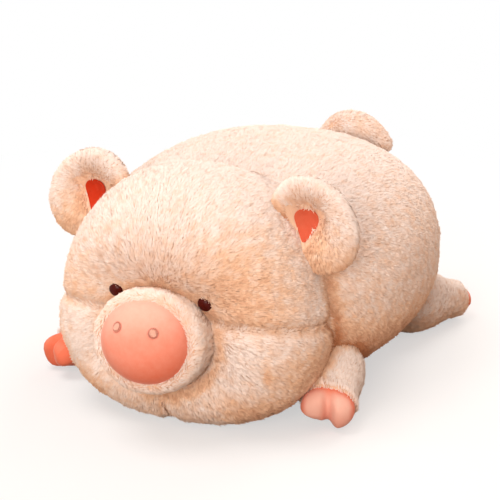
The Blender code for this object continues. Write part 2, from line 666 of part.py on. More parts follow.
# Tail
def tail_form(grow, segments, steps):
    """A round-ended crescent: rings set square to an elliptic curl."""
    bm = bmesh.new()
    side = Vector((0, 1, 0))
    stations = []
    for step in range(steps + 1):
        share = step / steps
        turn = TAIL_CURL_START + (TAIL_CURL_END - TAIL_CURL_START) * share
        lift, reach = math.sin(turn), math.cos(turn)
        middle = Vector((TAIL_CURL_HALF_WIDTH * (1 + reach), 0, TAIL_CURL_HEIGHT * lift))
        along = Vector((TAIL_CURL_HALF_WIDTH * lift, 0, -TAIL_CURL_HEIGHT * reach)).normalized()
        radius = TAIL_NECK_RADIUS * (1 - share) + TAIL_TIP_RADIUS * share
        radius += (TAIL_RADIUS - radius) * math.sin(math.pi * share) ** 2 + grow
        stations.append((middle, along, radius))
    first, last = stations[0], stations[-1]
    for turn in TAIL_END_TURNS:
        lift, narrow = math.sin(turn), math.cos(turn)
        stations.insert(0, (first[0] - first[1] * first[2] * lift, first[1], first[2] * narrow))
        stations.append((last[0] + last[1] * last[2] * lift, last[1], last[2] * narrow))
    rings = []
    for middle, along, radius in stations:
        place = Matrix.Translation(middle) @ aim(along, side)
        rings.append(bmesh.ops.create_circle(bm, segments=segments, radius=radius, matrix=place)["verts"])
    for low, high in zip(rings, rings[1:]):
        for index in range(segments):
            bm.faces.new((low[index], low[index - 1], high[index - 1], high[index]))
    for rim, (middle, along, radius), sign in ((rings[0], first, -1), (rings[-1], last, 1)):
        tip = bm.verts.new(middle + along * radius * sign)
        for index in range(segments):
            bm.faces.new((rim[index], rim[index - 1], tip))
    return bm


def make_tail(body, targets, finish):
    """The curled tail, which tips back and forth on the ball at its root."""
    y = body.half.y * TAIL_Y_SHARE
    hinge = add_empty("tail_hinge", Vector((0, y, body.top_z(y) + TAIL_ROOT_PROUD)))
    ball = (TAIL_ROOT_RADIUS, TAIL_ROOT_RADIUS, TAIL_ROOT_RADIUS)
    root = add_object("tail_root", ellipsoid(ball, (0, 0, 0)), None, hinge)
    socket = add_object("tail_socket", ellipsoid(ball, (0, 0, 0), grow=SWING_CLEARANCE), None, hinge)
    tail = add_object("tail", tail_form(0, SMALL_SEGMENTS, TAIL_STEPS), finish["fur"], hinge)
    inside = tail_form(-LIMB_WALL, TAIL_INNER_SEGMENTS, TAIL_INNER_STEPS)
    hollow = add_object("tail_inside", inside, None, hinge)
    mouth_profile = [(0, -2 * TAIL_ROOT_RADIUS), (TAIL_MOUTH_RADIUS, -2 * TAIL_ROOT_RADIUS),
                     (TAIL_MOUTH_RADIUS, 0), (0, 0)]
    mouth = add_object("tail_mouth", turned(mouth_profile, FINE_SEGMENTS), None, hinge)
    combine(tail, "UNION", root)
    combine(tail, "DIFFERENCE", hollow, mouth)
    add_object("tail_stuffing", tail_form(-LIMB_WALL - GAP, TAIL_INNER_SEGMENTS, TAIL_INNER_STEPS),
               finish["filling"], hinge)
    tipped = add_empty("tail_tipped", hinge.location, Matrix.Rotation(TAIL_TIP_FORWARD, 4, "X"))
    dent = add_object("tail_dent", tail_form(SWING_CLEARANCE, SMALL_SEGMENTS, TAIL_STEPS), None, tipped)
    for target in targets:
        combine(target, "DIFFERENCE", socket, dent)


def build():
    """Clear the scene and make every piece."""
    for old in list(bpy.data.objects):
        bpy.data.objects.remove(old)
    finish = make_finishes()
    head_half = Vector((HEAD_HALF_WIDTH, HEAD_HALF_LENGTH, HEAD_HALF_HEIGHT))
    body_half = Vector((BODY_HALF_WIDTH, BODY_HALF_LENGTH, BODY_HALF_HEIGHT))
    head = StuffedForm(head_half, HEAD_CENTRE_Y, HEAD_ROUND_SHARE, HEAD_LOW_ROUND_SHARE,
                       crown_narrow_share=HEAD_CROWN_NARROW_SHARE, dent_depth=FACE_DENT_DEPTH)
    body = StuffedForm(body_half, 0, BODY_ROUND_SHARE, BODY_ROUND_SHARE, rise_share=BODY_RISE_SHARE)
    head_pieces = make_head(head, finish)
    body_pieces = make_body(body, head, finish)
    head_pieces.update(make_muzzle(head, finish))
    make_eyes(head, head_pieces, finish)
    make_ears(head, head_pieces, finish)
    filling = body_pieces["body_stuffing"]
    targets = {}
    for name in ("left", "right"):
        beside = (body_pieces["body_panel_" + name], filling)
        targets["hind_leg_" + name] = beside
        targets["foreleg_" + name] = (*beside, head_pieces["cheek_panel_" + name], head_pieces["head_stuffing"])
    make_legs(head, body, targets, finish)
    make_tail(body, (body_pieces["body_panel_left"], body_pieces["body_panel_right"], filling), finish)


build()
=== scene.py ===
"""Plush pig lying on its belly, dressed over its solids: stuffed covers, brushed pile, velour trims.

Metres, +Z up, the snout towards -Y and the pig's left side towards +X.
"""

import math

import bmesh
import bpy
import numpy as np
from mathutils import Matrix, Vector


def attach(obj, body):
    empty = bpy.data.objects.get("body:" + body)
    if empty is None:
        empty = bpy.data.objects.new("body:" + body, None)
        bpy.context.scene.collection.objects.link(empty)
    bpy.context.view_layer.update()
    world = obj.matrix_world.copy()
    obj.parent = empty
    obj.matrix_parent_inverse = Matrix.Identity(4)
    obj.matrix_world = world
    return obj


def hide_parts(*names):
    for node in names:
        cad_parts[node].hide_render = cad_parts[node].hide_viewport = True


bl_info = {
    "name": "Plush pig",
    "version": (1, 0, 0),
    "blender": (4, 5, 0),
    "location": "3D View > Sidebar > Plush pig",
    "description": "Covers, pile, velour trims and eyes of a stuffed pig",
    "category": "Object",
}

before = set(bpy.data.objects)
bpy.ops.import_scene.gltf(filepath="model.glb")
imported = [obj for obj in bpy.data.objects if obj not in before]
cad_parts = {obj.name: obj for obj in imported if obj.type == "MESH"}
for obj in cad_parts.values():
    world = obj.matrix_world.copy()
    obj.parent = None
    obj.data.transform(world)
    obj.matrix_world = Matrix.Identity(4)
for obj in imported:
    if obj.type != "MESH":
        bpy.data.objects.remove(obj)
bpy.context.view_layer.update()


def linear(code):
    """Linear colour from an sRGB hex value."""
    parts = [int(code[place:place + 2], 16) / 255 for place in (1, 3, 5)]
    return tuple(part / 12.92 if part <= 0.04045 else ((part + 0.055) / 1.055) ** 2.4 for part in parts)


def length(name, description, default, top):
    """A size that the panel shows in the scene's unit."""
    return bpy.props.FloatProperty(name=name, description=description, default=default, min=0, max=top,
                                   unit="LENGTH", subtype="DISTANCE")


def share(name, description, default):
    """A plain share of another size."""
    return bpy.props.FloatProperty(name=name, description=description, default=default, min=0, max=2,
                                   subtype="FACTOR")


def colour(name, description, code):
    """A colour given as sRGB hex and kept linear."""
    return bpy.props.FloatVectorProperty(name=name, description=description, default=linear(code), size=3,
                                         min=0, max=1, subtype="COLOR")


class PigSizes(bpy.types.PropertyGroup):
    """Sizes of the stuffed forms."""

    pile_length: length("Pile length", "Length of the brushed strands", 0.0078, 0.05)
    pile_gap: length("Pile spacing", "Distance between the tufts of the pile", 0.00084, 0.01)
    strand_width: length("Strand width", "Width of one tuft of the pile", 0.0015, 0.01)
    cloth_depth: length("Cloth depth", "How far the cloth lies under the tips of the pile", 0.0036, 0.02)
    seam_depth: length("Seam depth", "How deep a sewn seam pulls into the stuffing", 0.0065, 0.02)
    seam_width: length("Seam width", "Half width of the valley along a seam", 0.006, 0.03)
    eye_radius: length("Eye radius", "Radius of the moulded eyes", 0.0078, 0.02)
    eye_dome: length("Eye dome", "Height of the moulded eyes", 0.0045, 0.02)
    tuft_share: share("Tufting", "How much neighbouring strands lean together", 0.18)
    comb_share: share("Combing", "How far the strands are combed flat along the cloth", 0.9)
    stray_share: share("Stray strands", "How much single strands lean their own way", 0.1)


class PigColours(bpy.types.PropertyGroup):
    """Colours of the cloths and the eyes."""

    pile_tip: colour("Pile tips", "Cream tips of the pile", "#fef0e8")
    pile_root: colour("Pile roots", "Tan depth of the pile", "#f8d8be")
    # The tufts' colour is also the first step of the pile's painted shade
    pile_tuft: colour("Pile tufts", "Warmer tufts between the cream ones", "#f7cead")
    # Painted shade of the pile: the deep tan painted where shade falls in creases and low on the toy
    pile_painted_shade: colour("Pile in creases", "Deep tan of the pile in a crease", "#cc8a62")
    # Velour colours: the pale one is a painted highlight where light falls on the snout and hooves, the deep
    # one painted shade where it does not
    velour: colour("Velour", "Snout and hooves, where the light catches the nap", "#ffc6b4")
    velour_painted_shade: colour("Velour depth", "Snout and hooves, where the nap turns away", "#f27d5e")
    # Ear lining colours: the pale one is a painted highlight, the deep one painted shade
    lining: colour("Ear lining", "Velour inside the ears, where the light catches it", "#f08a6a")
    lining_painted_shade: colour("Ear lining depth", "Velour inside the ears, where the nap turns away", "#cc3818")
    eye: colour("Eyes", "Moulded eyes", "#3c0a05")
    thread: colour("Thread", "Stitching round the nostrils", "#eb9580")
    pale_thread: colour("Pale thread", "Satin stitches inside the nostrils", "#ffc3ab")
    floor: colour("Floor", "Plain floor and backdrop", "#f6f5f3")


# Head, body and limb forms, as the solids have them
HEAD_HALF = Vector((0.145, 0.1055, 0.136))
HEAD_Y = -0.176
BODY_HALF = Vector((0.1925, 0.2048, 0.1250))
SETTLE = 0.004
REST_CUT = 0.0005
SEAM_HEIGHT = 0.1124
SEAM_TILT = math.radians(12.2)
DENT_DEPTH, DENT_HEIGHT, DENT_WIDE, DENT_TALL = 0.024, 0.115, 0.075, 0.055
MUZZLE_SEAT = Vector((0, -0.25196, 0.1045))
MUZZLE_TILT = math.radians(12)
MUZZLE_FLAT = 0.87
EYE_X, EYE_Z = 0.0505, 0.1493
EAR_SPOT = Vector((0.11368, -0.165, 0.204))
EAR_LEAN = math.radians(51.7)
FORELEG_SPOT = Vector((0.1309, -0.12083, 0.0393))
HIND_LEG_SPOT = Vector((0.13321, 0.12001, 0.0383))
TAIL_SPOT = Vector((0, 0.18022, 0.20119))
LEG_BALL_RADIUS = 0.042
JOWL_SHARE = -0.3

# Stuffing that rounds out the top of the neck
NECK_REACH, NECK_FILL, NECK_LOW, NECK_HIGH = 0.045, 0.011, 0.15, 0.21

# The covers and the strands stay this far above the floor, and no strand is planted below PILE_LOW
COVER_FLOOR = 0.0012
STRAND_FLOOR = 0.0002
PILE_LOW = 0.002

# No pile grows this near the middle of an eye or of the snout, and two piles overlap this far at a seam
EYE_CLEARING = 0.006
SNOUT_CLEARING = 0.055
SEAM_OVERLAP = 0.0005

# Squares along each edge of the cube that a cover's ball is cut from
SKIN_STEPS = 72
EAR_STEPS = 36
LINING_STEPS = 20


def power(value, exponent):
    """A power that keeps the sign."""
    return math.copysign(abs(value) ** exponent, value)


def hill(distance, width):
    """A smooth bump that is one at no distance and fades over a width."""
    return math.exp(-(distance / width) ** 2)


def step(value, low, high):
    """Smooth step from nought at low to one at high."""
    part = max(0.0, min(1.0, (value - low) / (high - low)))
    return part * part * (3 - 2 * part)


class StuffedForm:
    """A filled cloth form: a rounded box of revolution that settles flat on the floor."""

    def __init__(self, half, centre_y, round_share, low_round_share, crown_narrow=0, rise=0, dent=0):
        self.half = half
        self.centre_y = centre_y
        self.round_share = round_share
        self.low_round_share = low_round_share
        self.crown_narrow = crown_narrow
        self.rise = rise
        self.dent = dent

    def width_share(self, up_share):
        """How wide the form is at a height, from its jowls to its crown."""
        return 1 - self.crown_narrow * max(JOWL_SHARE, min(1, up_share))

    def level_share(self, up):
        """How round the form is above or below its middle."""
        return self.low_round_share if up < 0 else self.round_share

    def face_dent(self, x, z):
        """How far the face is pulled in round the muzzle and the eyes."""
        away = (x / DENT_WIDE) ** 4 + ((z - DENT_HEIGHT) / DENT_TALL) ** 4
        return self.dent / (1 + away * math.sqrt(away))

    def point(self, unit, grow=0.0):
        """The place on the form for a place on the unit ball."""
        half = self.half + Vector((grow, grow, grow))
        flat = math.hypot(unit.x, unit.y)
        level = self.level_share(unit.z)
        across = flat ** level
        side = power(unit.x / flat, self.round_share) if flat else 0
        ahead = power(unit.y / flat, self.round_share) if flat else 0
        up_share = power(unit.z, level)
        height = half.z * (1 + up_share + self.rise * max(0, up_share) * across * ahead)
        settled = height ** 2 / (4 * SETTLE) if height < 2 * SETTLE else height - SETTLE
        x, z = half.x * across * side * self.width_share(up_share), settled - REST_CUT - grow
        return Vector((x, self.centre_y + half.y * across * ahead + self.face_dent(x, z) * max(0, -ahead), z))

    def front_y(self, x, z):
        """The front of the form at a place seen from ahead."""
        up_share = (z + REST_CUT + SETTLE) / self.half.z - 1
        level = self.level_share(up_share)
        across = math.sqrt(max(0, 1 - abs(up_share) ** (2 / level))) ** level
        side = min(1, abs(x) / max(1e-6, self.half.x * across * self.width_share(up_share)))
        ahead = math.sqrt(1 - side ** (2 / self.round_share)) ** self.round_share
        return self.centre_y - self.half.y * across * ahead + self.face_dent(x, z) * ahead

    def gap(self, place):
        """About how far a place lies outside the form, less than nought inside."""
        up_share = (place.z + REST_CUT + SETTLE) / self.half.z - 1
        if abs(up_share) >= 1:
            return 1.0
        level = self.level_share(up_share)
        across = math.sqrt(1 - abs(up_share) ** (2 / level)) ** level
        side = abs(place.x) / (self.half.x * across * self.width_share(up_share))
        ahead = abs(place.y - self.centre_y) / (self.half.y * across)
        ratio = (side ** (2 / self.round_share) + ahead ** (2 / self.round_share)) ** (self.round_share / 2)
        return math.hypot(place.x, place.y - self.centre_y) * (1 - 1 / max(ratio, 1e-3))

    def inside(self, place, margin=0.0):
        """Whether a place lies inside the form, shrunk by a margin."""
        half = self.half - Vector((margin, margin, margin))
        up_share = (place.z + REST_CUT + SETTLE) / half.z - 1
        if abs(up_share) >= 1:
            return False
        level = self.level_share(up_share)
        across = math.sqrt(1 - abs(up_share) ** (2 / level)) ** level
        if across <= 0:
            return False
        side = abs(place.x) / (half.x * across * self.width_share(up_share))
        ahead = abs(place.y - self.centre_y) / (half.y * across)
        return side ** (2 / self.round_share) + ahead ** (2 / self.round_share) < 1


HEAD = StuffedForm(HEAD_HALF, HEAD_Y, 0.85, 0.7, crown_narrow=0.17, dent=DENT_DEPTH)
BODY = StuffedForm(BODY_HALF, 0, 0.86, 0.86, rise=0.13)


def neck_fill(place, other):
    """How far the stuffing rounds out the top of the neck between two forms."""
    near = max(0, 1 - abs(other.gap(place)) / NECK_REACH)
    return NECK_FILL * near ** 2 * step(place.z, NECK_LOW, NECK_HIGH)


# Mesh helpers
def ball_grid(steps):
    """A unit ball of even quads, from a cube cut into squares."""
    bm = bmesh.new()
    bmesh.ops.create_cube(bm, size=2)
    bmesh.ops.subdivide_edges(bm, edges=bm.edges[:], cuts=steps - 1, use_grid_fill=True)
    for vert in bm.verts:
        vert.co = Vector([math.tan(part * math.pi / 4) for part in vert.co]).normalized()
    return bm


def turn_into(bm, profile, segments, place=Matrix.Identity(4)):
    """Add a solid turned about local Z from (radius, height) pairs that start and end on the axis.

    Each corner and face is made in a set order. The pile is planted in the order of the faces, and the
    order that bmesh's spin, merge and sphere leave changes from run to run.
    """
    rows = []
    for radius, height in profile:
        turns = [math.tau * index / segments for index in range(segments if radius else 1)]
        rows.append([bm.verts.new(place @ Vector((radius * math.cos(turn), radius * math.sin(turn), height)))
                     for turn in turns])
    for low, high in zip(rows, rows[1:]):
        for index in range(segments):
            after = (index + 1) % segments
            corners = [low[index % len(low)], low[after % len(low)], high[after % len(high)],
                       high[index % len(high)]]
            bm.faces.new(list(dict.fromkeys(corners)))


def turned(profile, segments):
    """A solid turned about local Z."""
    bm = bmesh.new()
    turn_into(bm, profile, segments)
    return bm


def add_piece(name, bm, finish, body, place=Matrix.Identity(4)):
    """Turn a bmesh into a finished piece whose place is in its mesh."""
    bm.transform(place)
    bmesh.ops.recalc_face_normals(bm, faces=bm.faces)
    if bm.calc_volume(signed=True) < 0:
        bmesh.ops.reverse_faces(bm, faces=bm.faces)
    mesh = bpy.data.meshes.new(name)
    bm.to_mesh(mesh)
    bm.free()
    mesh.shade_smooth()
    mesh.materials.append(finish)
    made = bpy.data.objects.new(name, mesh)
    bpy.context.scene.collection.objects.link(made)
    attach(made, body)
    return made


def store_painted_light(piece, value):
    """Keep the painted light of each part of a velour piece: nought for painted shade, one for a painted
    highlight.
    """
    layer = piece.data.attributes.new("painted_light", "FLOAT", "POINT")
    layer.data.foreach_set("value", [value(vert.co) for vert in piece.data.vertices])


def aim(direction, side=None):
    """A turn that takes local Z along a direction and keeps local Y upright."""
    forward = direction.normalized()
    side = side or Vector((0, 0, 1)).cross(forward).normalized()
    return Matrix((side, forward.cross(side), forward)).transposed().to_4x4()


# Node helpers
def add_node(tree, kind, inputs=None, **settings):
    """Add a node with its settings, plain values and links."""
    node = tree.nodes.new(kind)
    for key, value in settings.items():
        setattr(node, key, value)
    for key, value in (inputs or {}).items():
        socket = node.inputs[key]
        if isinstance(value, bpy.types.NodeSocket):
            tree.links.new(value, socket)
        else:
            socket.default_value = value
    return node


def new_material(name):
    """An empty node material with its shader."""
    made = bpy.data.materials.new(name)
    made.use_nodes = True
    return made, made.node_tree, made.node_tree.nodes["Principled BSDF"]


def rgba(value):
    """A colour with full cover."""
    return (*value, 1)


# Brushed polyester pile: thin fibres sheared to one height, cream at the tips and tan in the depth, with a
# soft sheen where the light grazes it. The first coordinate is the tone of a tuft together with the painted
# shade of its place, the second runs along it.
def pile_material(colours):
    made, tree, shader = new_material("brushed_polyester_pile")
    uv = add_node(tree, "ShaderNodeUVMap", uv_map="OFBake")
    parts = add_node(tree, "ShaderNodeSeparateXYZ", {0: uv.outputs[0]})
    depth = add_node(tree, "ShaderNodeMapRange",
                     {"Value": parts.outputs[1], "From Min": 0.0, "From Max": 0.6},
                     interpolation_type="SMOOTHSTEP")
    tone = add_node(tree, "ShaderNodeMapRange",
                    {"Value": parts.outputs[0], "From Min": 0.15, "From Max": 0.85})
    tips = add_node(tree, "ShaderNodeMix", {0: tone.outputs[0], 6: rgba(colours.pile_tuft),
                                            7: rgba(colours.pile_tip)}, data_type="RGBA")
    whole = add_node(tree, "ShaderNodeMix", {0: depth.outputs[0], 6: rgba(colours.pile_root),
                                             7: tips.outputs[2]}, data_type="RGBA")
    # Painted shade: low tones turn to the deep tan painted where shade falls in creases and low on the toy
    crease = add_node(tree, "ShaderNodeMapRange",
                      {"Value": parts.outputs[0], "From Min": -0.7, "From Max": 0.15})
    mixed = add_node(tree, "ShaderNodeMix", {0: crease.outputs[0], 6: rgba(colours.pile_painted_shade),
                                             7: whole.outputs[2]}, data_type="RGBA")
    tree.links.new(mixed.outputs[2], shader.inputs["Base Color"])
    shader.inputs["Roughness"].default_value = 0.95
    shader.inputs["Specular IOR Level"].default_value = 0.15
    shader.inputs["Sheen Weight"].default_value = 0.25
    shader.inputs["Sheen Roughness"].default_value = 0.5
    shader.inputs["Sheen Tint"].default_value = (1.0, 0.86, 0.74, 1)
    return made


# Knitted polyester backing: the cloth that carries the pile, with a loop every 1.2 mm, tan like the pile's
# depth.
def backing_material(colours):
    made, tree, shader = new_material("knitted_polyester_backing")
    where = add_node(tree, "ShaderNodeTexCoord")
    loops = add_node(tree, "ShaderNodeTexVoronoi", {"Vector": where.outputs["Object"], "Scale": 830.0})
    patches = add_node(tree, "ShaderNodeTexNoise", {"Vector": where.outputs["Object"], "Scale": 70.0,
                                                    "Detail": 3.0})
    mixed = add_node(tree, "ShaderNodeMix", {0: patches.outputs["Fac"], 6: rgba(colours.pile_root),
                                             7: rgba(colours.pile_tuft)}, data_type="RGBA")
    relief = add_node(tree, "ShaderNodeBump", {"Height": loops.outputs["Distance"], "Strength": 0.5,
                                               "Distance": 0.0006})
    tree.links.new(mixed.outputs[2], shader.inputs["Base Color"])
    tree.links.new(relief.outputs[0], shader.inputs["Normal"])
    shader.inputs["Roughness"].default_value = 0.95
    shader.inputs["Specular IOR Level"].default_value = 0.15
    return made


# Sheared velour: a 1 mm pile cut level, so matt with a pale sheen at its edges and faint marks where it is
# stroked. Its colour is painted light, from a painted-shade depth to a painted-highlight pale, by a value
# kept on each piece.
def velour_material(name, base, deep, sheen=0.5):
    made, tree, shader = new_material(name)
    where = add_node(tree, "ShaderNodeTexCoord")
    strokes = add_node(tree, "ShaderNodeTexNoise", {"Vector": where.outputs["Object"], "Scale": 110.0,
                                                    "Detail": 4.0, "Roughness": 0.65})
    fibres = add_node(tree, "ShaderNodeTexNoise", {"Vector": where.outputs["Object"], "Scale": 900.0,
                                                   "Detail": 2.0})
    painted_light = add_node(tree, "ShaderNodeAttribute", attribute_name="painted_light")
    spread = add_node(tree, "ShaderNodeMapRange",
                      {"Value": strokes.outputs["Fac"], "To Min": -0.18, "To Max": 0.18})
    lit = add_node(tree, "ShaderNodeMath", {0: painted_light.outputs["Fac"], 1: spread.outputs[0]}, operation="ADD",
                   use_clamp=True)
    mixed = add_node(tree, "ShaderNodeMix", {0: lit.outputs[0], 6: rgba(deep), 7: rgba(base)},
                     data_type="RGBA")
    relief = add_node(tree, "ShaderNodeBump", {"Height": fibres.outputs["Fac"], "Strength": 0.45,
                                               "Distance": 0.0006})
    tree.links.new(mixed.outputs[2], shader.inputs["Base Color"])
    tree.links.new(relief.outputs[0], shader.inputs["Normal"])
    shader.inputs["Roughness"].default_value = 0.85
    shader.inputs["Specular IOR Level"].default_value = 0.2
    shader.inputs["Sheen Weight"].default_value = sheen
    shader.inputs["Sheen Roughness"].default_value = 0.35
    shader.inputs["Sheen Tint"].default_value = (1.0, 0.82, 0.74, 1)
    return made


# Cast resin eye: dark maroon all through and polished, with a faint cloud in it, so small hard highlights.
def eye_material(colours):
    made, tree, shader = new_material("polished_cast_resin")
    where = add_node(tree, "ShaderNodeTexCoord")
    cloud = add_node(tree, "ShaderNodeTexNoise", {"Vector": where.outputs["Object"], "Scale": 250.0})
    brown = tuple(min(1, part * 2.2) for part in colours.eye)
    mixed = add_node(tree, "ShaderNodeMix", {0: cloud.outputs["Fac"], 6: rgba(colours.eye), 7: rgba(brown)},
                     data_type="RGBA")
    tree.links.new(mixed.outputs[2], shader.inputs["Base Color"])
    shader.inputs["Roughness"].default_value = 0.22
    shader.inputs["IOR"].default_value = 1.45
    shader.inputs["Specular IOR Level"].default_value = 0.15
    return made


# Rayon embroidery thread: two plies twisted every 0.8 mm, with a silky shine.
def thread_material(name, base):
    made, tree, shader = new_material(name)
    where = add_node(tree, "ShaderNodeTexCoord")
    plies = add_node(tree, "ShaderNodeTexWave", {"Vector": where.outputs["Object"], "Scale": 400.0,
                                                 "Distortion": 3.0, "Detail": 2.0})
    deep = tuple(part * 0.7 for part in base)
    mixed = add_node(tree, "ShaderNodeMix", {0: plies.outputs["Fac"], 6: rgba(deep), 7: rgba(base)},
                     data_type="RGBA")
    relief = add_node(tree, "ShaderNodeBump", {"Height": plies.outputs["Fac"], "Strength": 0.5,
                                               "Distance": 0.0003})
    tree.links.new(mixed.outputs[2], shader.inputs["Base Color"])
    tree.links.new(relief.outputs[0], shader.inputs["Normal"])
    shader.inputs["Roughness"].default_value = 0.45
    shader.inputs["Sheen Weight"].default_value = 0.3
    return made


# Moulded polypropylene washer: milky white, satin from its mould.
def washer_material():
    made, tree, shader = new_material("moulded_polypropylene")
    where = add_node(tree, "ShaderNodeTexCoord")
    grain = add_node(tree, "ShaderNodeTexNoise", {"Vector": where.outputs["Object"], "Scale": 600.0})
    mixed = add_node(tree, "ShaderNodeMix", {0: grain.outputs["Fac"], 6: rgba(linear("#dedcd6")),
                                             7: rgba(linear("#f0eee8"))}, data_type="RGBA")
    relief = add_node(tree, "ShaderNodeBump", {"Height": grain.outputs["Fac"], "Strength": 0.2,
                                               "Distance": 0.0001})
    tree.links.new(mixed.outputs[2], shader.inputs["Base Color"])
    tree.links.new(relief.outputs[0], shader.inputs["Normal"])
    shader.inputs["Roughness"].default_value = 0.4
    return made


def finishes():
    """The materials, made once and found again by name."""
    colours = bpy.context.scene.pig_colours
    made = {}
    for key, name, make in (
            ("pile", "brushed_polyester_pile", lambda: pile_material(colours)),
            ("backing", "knitted_polyester_backing", lambda: backing_material(colours)),
            ("velour", "sheared_pink_velour", lambda: velour_material(
                "sheared_pink_velour", colours.velour, colours.velour_painted_shade)),
            ("lining", "sheared_coral_velour", lambda: velour_material(
                "sheared_coral_velour", colours.lining, colours.lining_painted_shade, sheen=0.15)),
            ("eye", "polished_cast_resin", lambda: eye_material(colours)),
            ("thread", "rayon_embroidery_thread", lambda: thread_material(
                "rayon_embroidery_thread", colours.thread)),
            ("pale_thread", "pale_rayon_thread", lambda: thread_material(
                "pale_rayon_thread", colours.pale_thread)),
            ("washer", "moulded_polypropylene", washer_material)):
        made[key] = bpy.data.materials.get(name) or make()
    return made


# Brushed pile: one strand's root, its two shoulders and its tip, in strand widths and lengths
STRAND_CORNERS = ((0, 0, 0), (-0.5, 0.22, 0.45), (0.5, 0.22, 0.45), (0, 0.05, 1))

# How much of the skin's own normal shades a strand, beside the strand's
SKIN_NORMAL_SHARE = 0.25
# How far a strand stands up from the cloth, beside its comb
RISE_SHARE = 0.3
# Most strands to a square of the spacing, before the spacing thins them
CROWD_SHARE = 1.3


def strand():
    """One tuft: a bent leaf of two faces, a unit long and a unit wide."""
    found = bpy.data.objects.get("strand")
    if found:
        return found
    bm = bmesh.new()
    along = bm.verts.layers.float.new("along")
    root, left, right, tip = [bm.verts.new(place) for place in STRAND_CORNERS]
    bm.faces.new((root, left, right))
    bm.faces.new((left, tip, right))
    for vert, value in ((root, 0.0), (left, 0.5), (right, 0.5), (tip, 1.0)):
        vert[along] = value
    bm.normal_update()
    if bm.faces[:][1].normal.y < 0:
        bmesh.ops.reverse_faces(bm, faces=bm.faces)
    mesh = bpy.data.meshes.new("strand")
    bm.to_mesh(mesh)
    bm.free()
    return bpy.data.objects.new("strand", mesh)


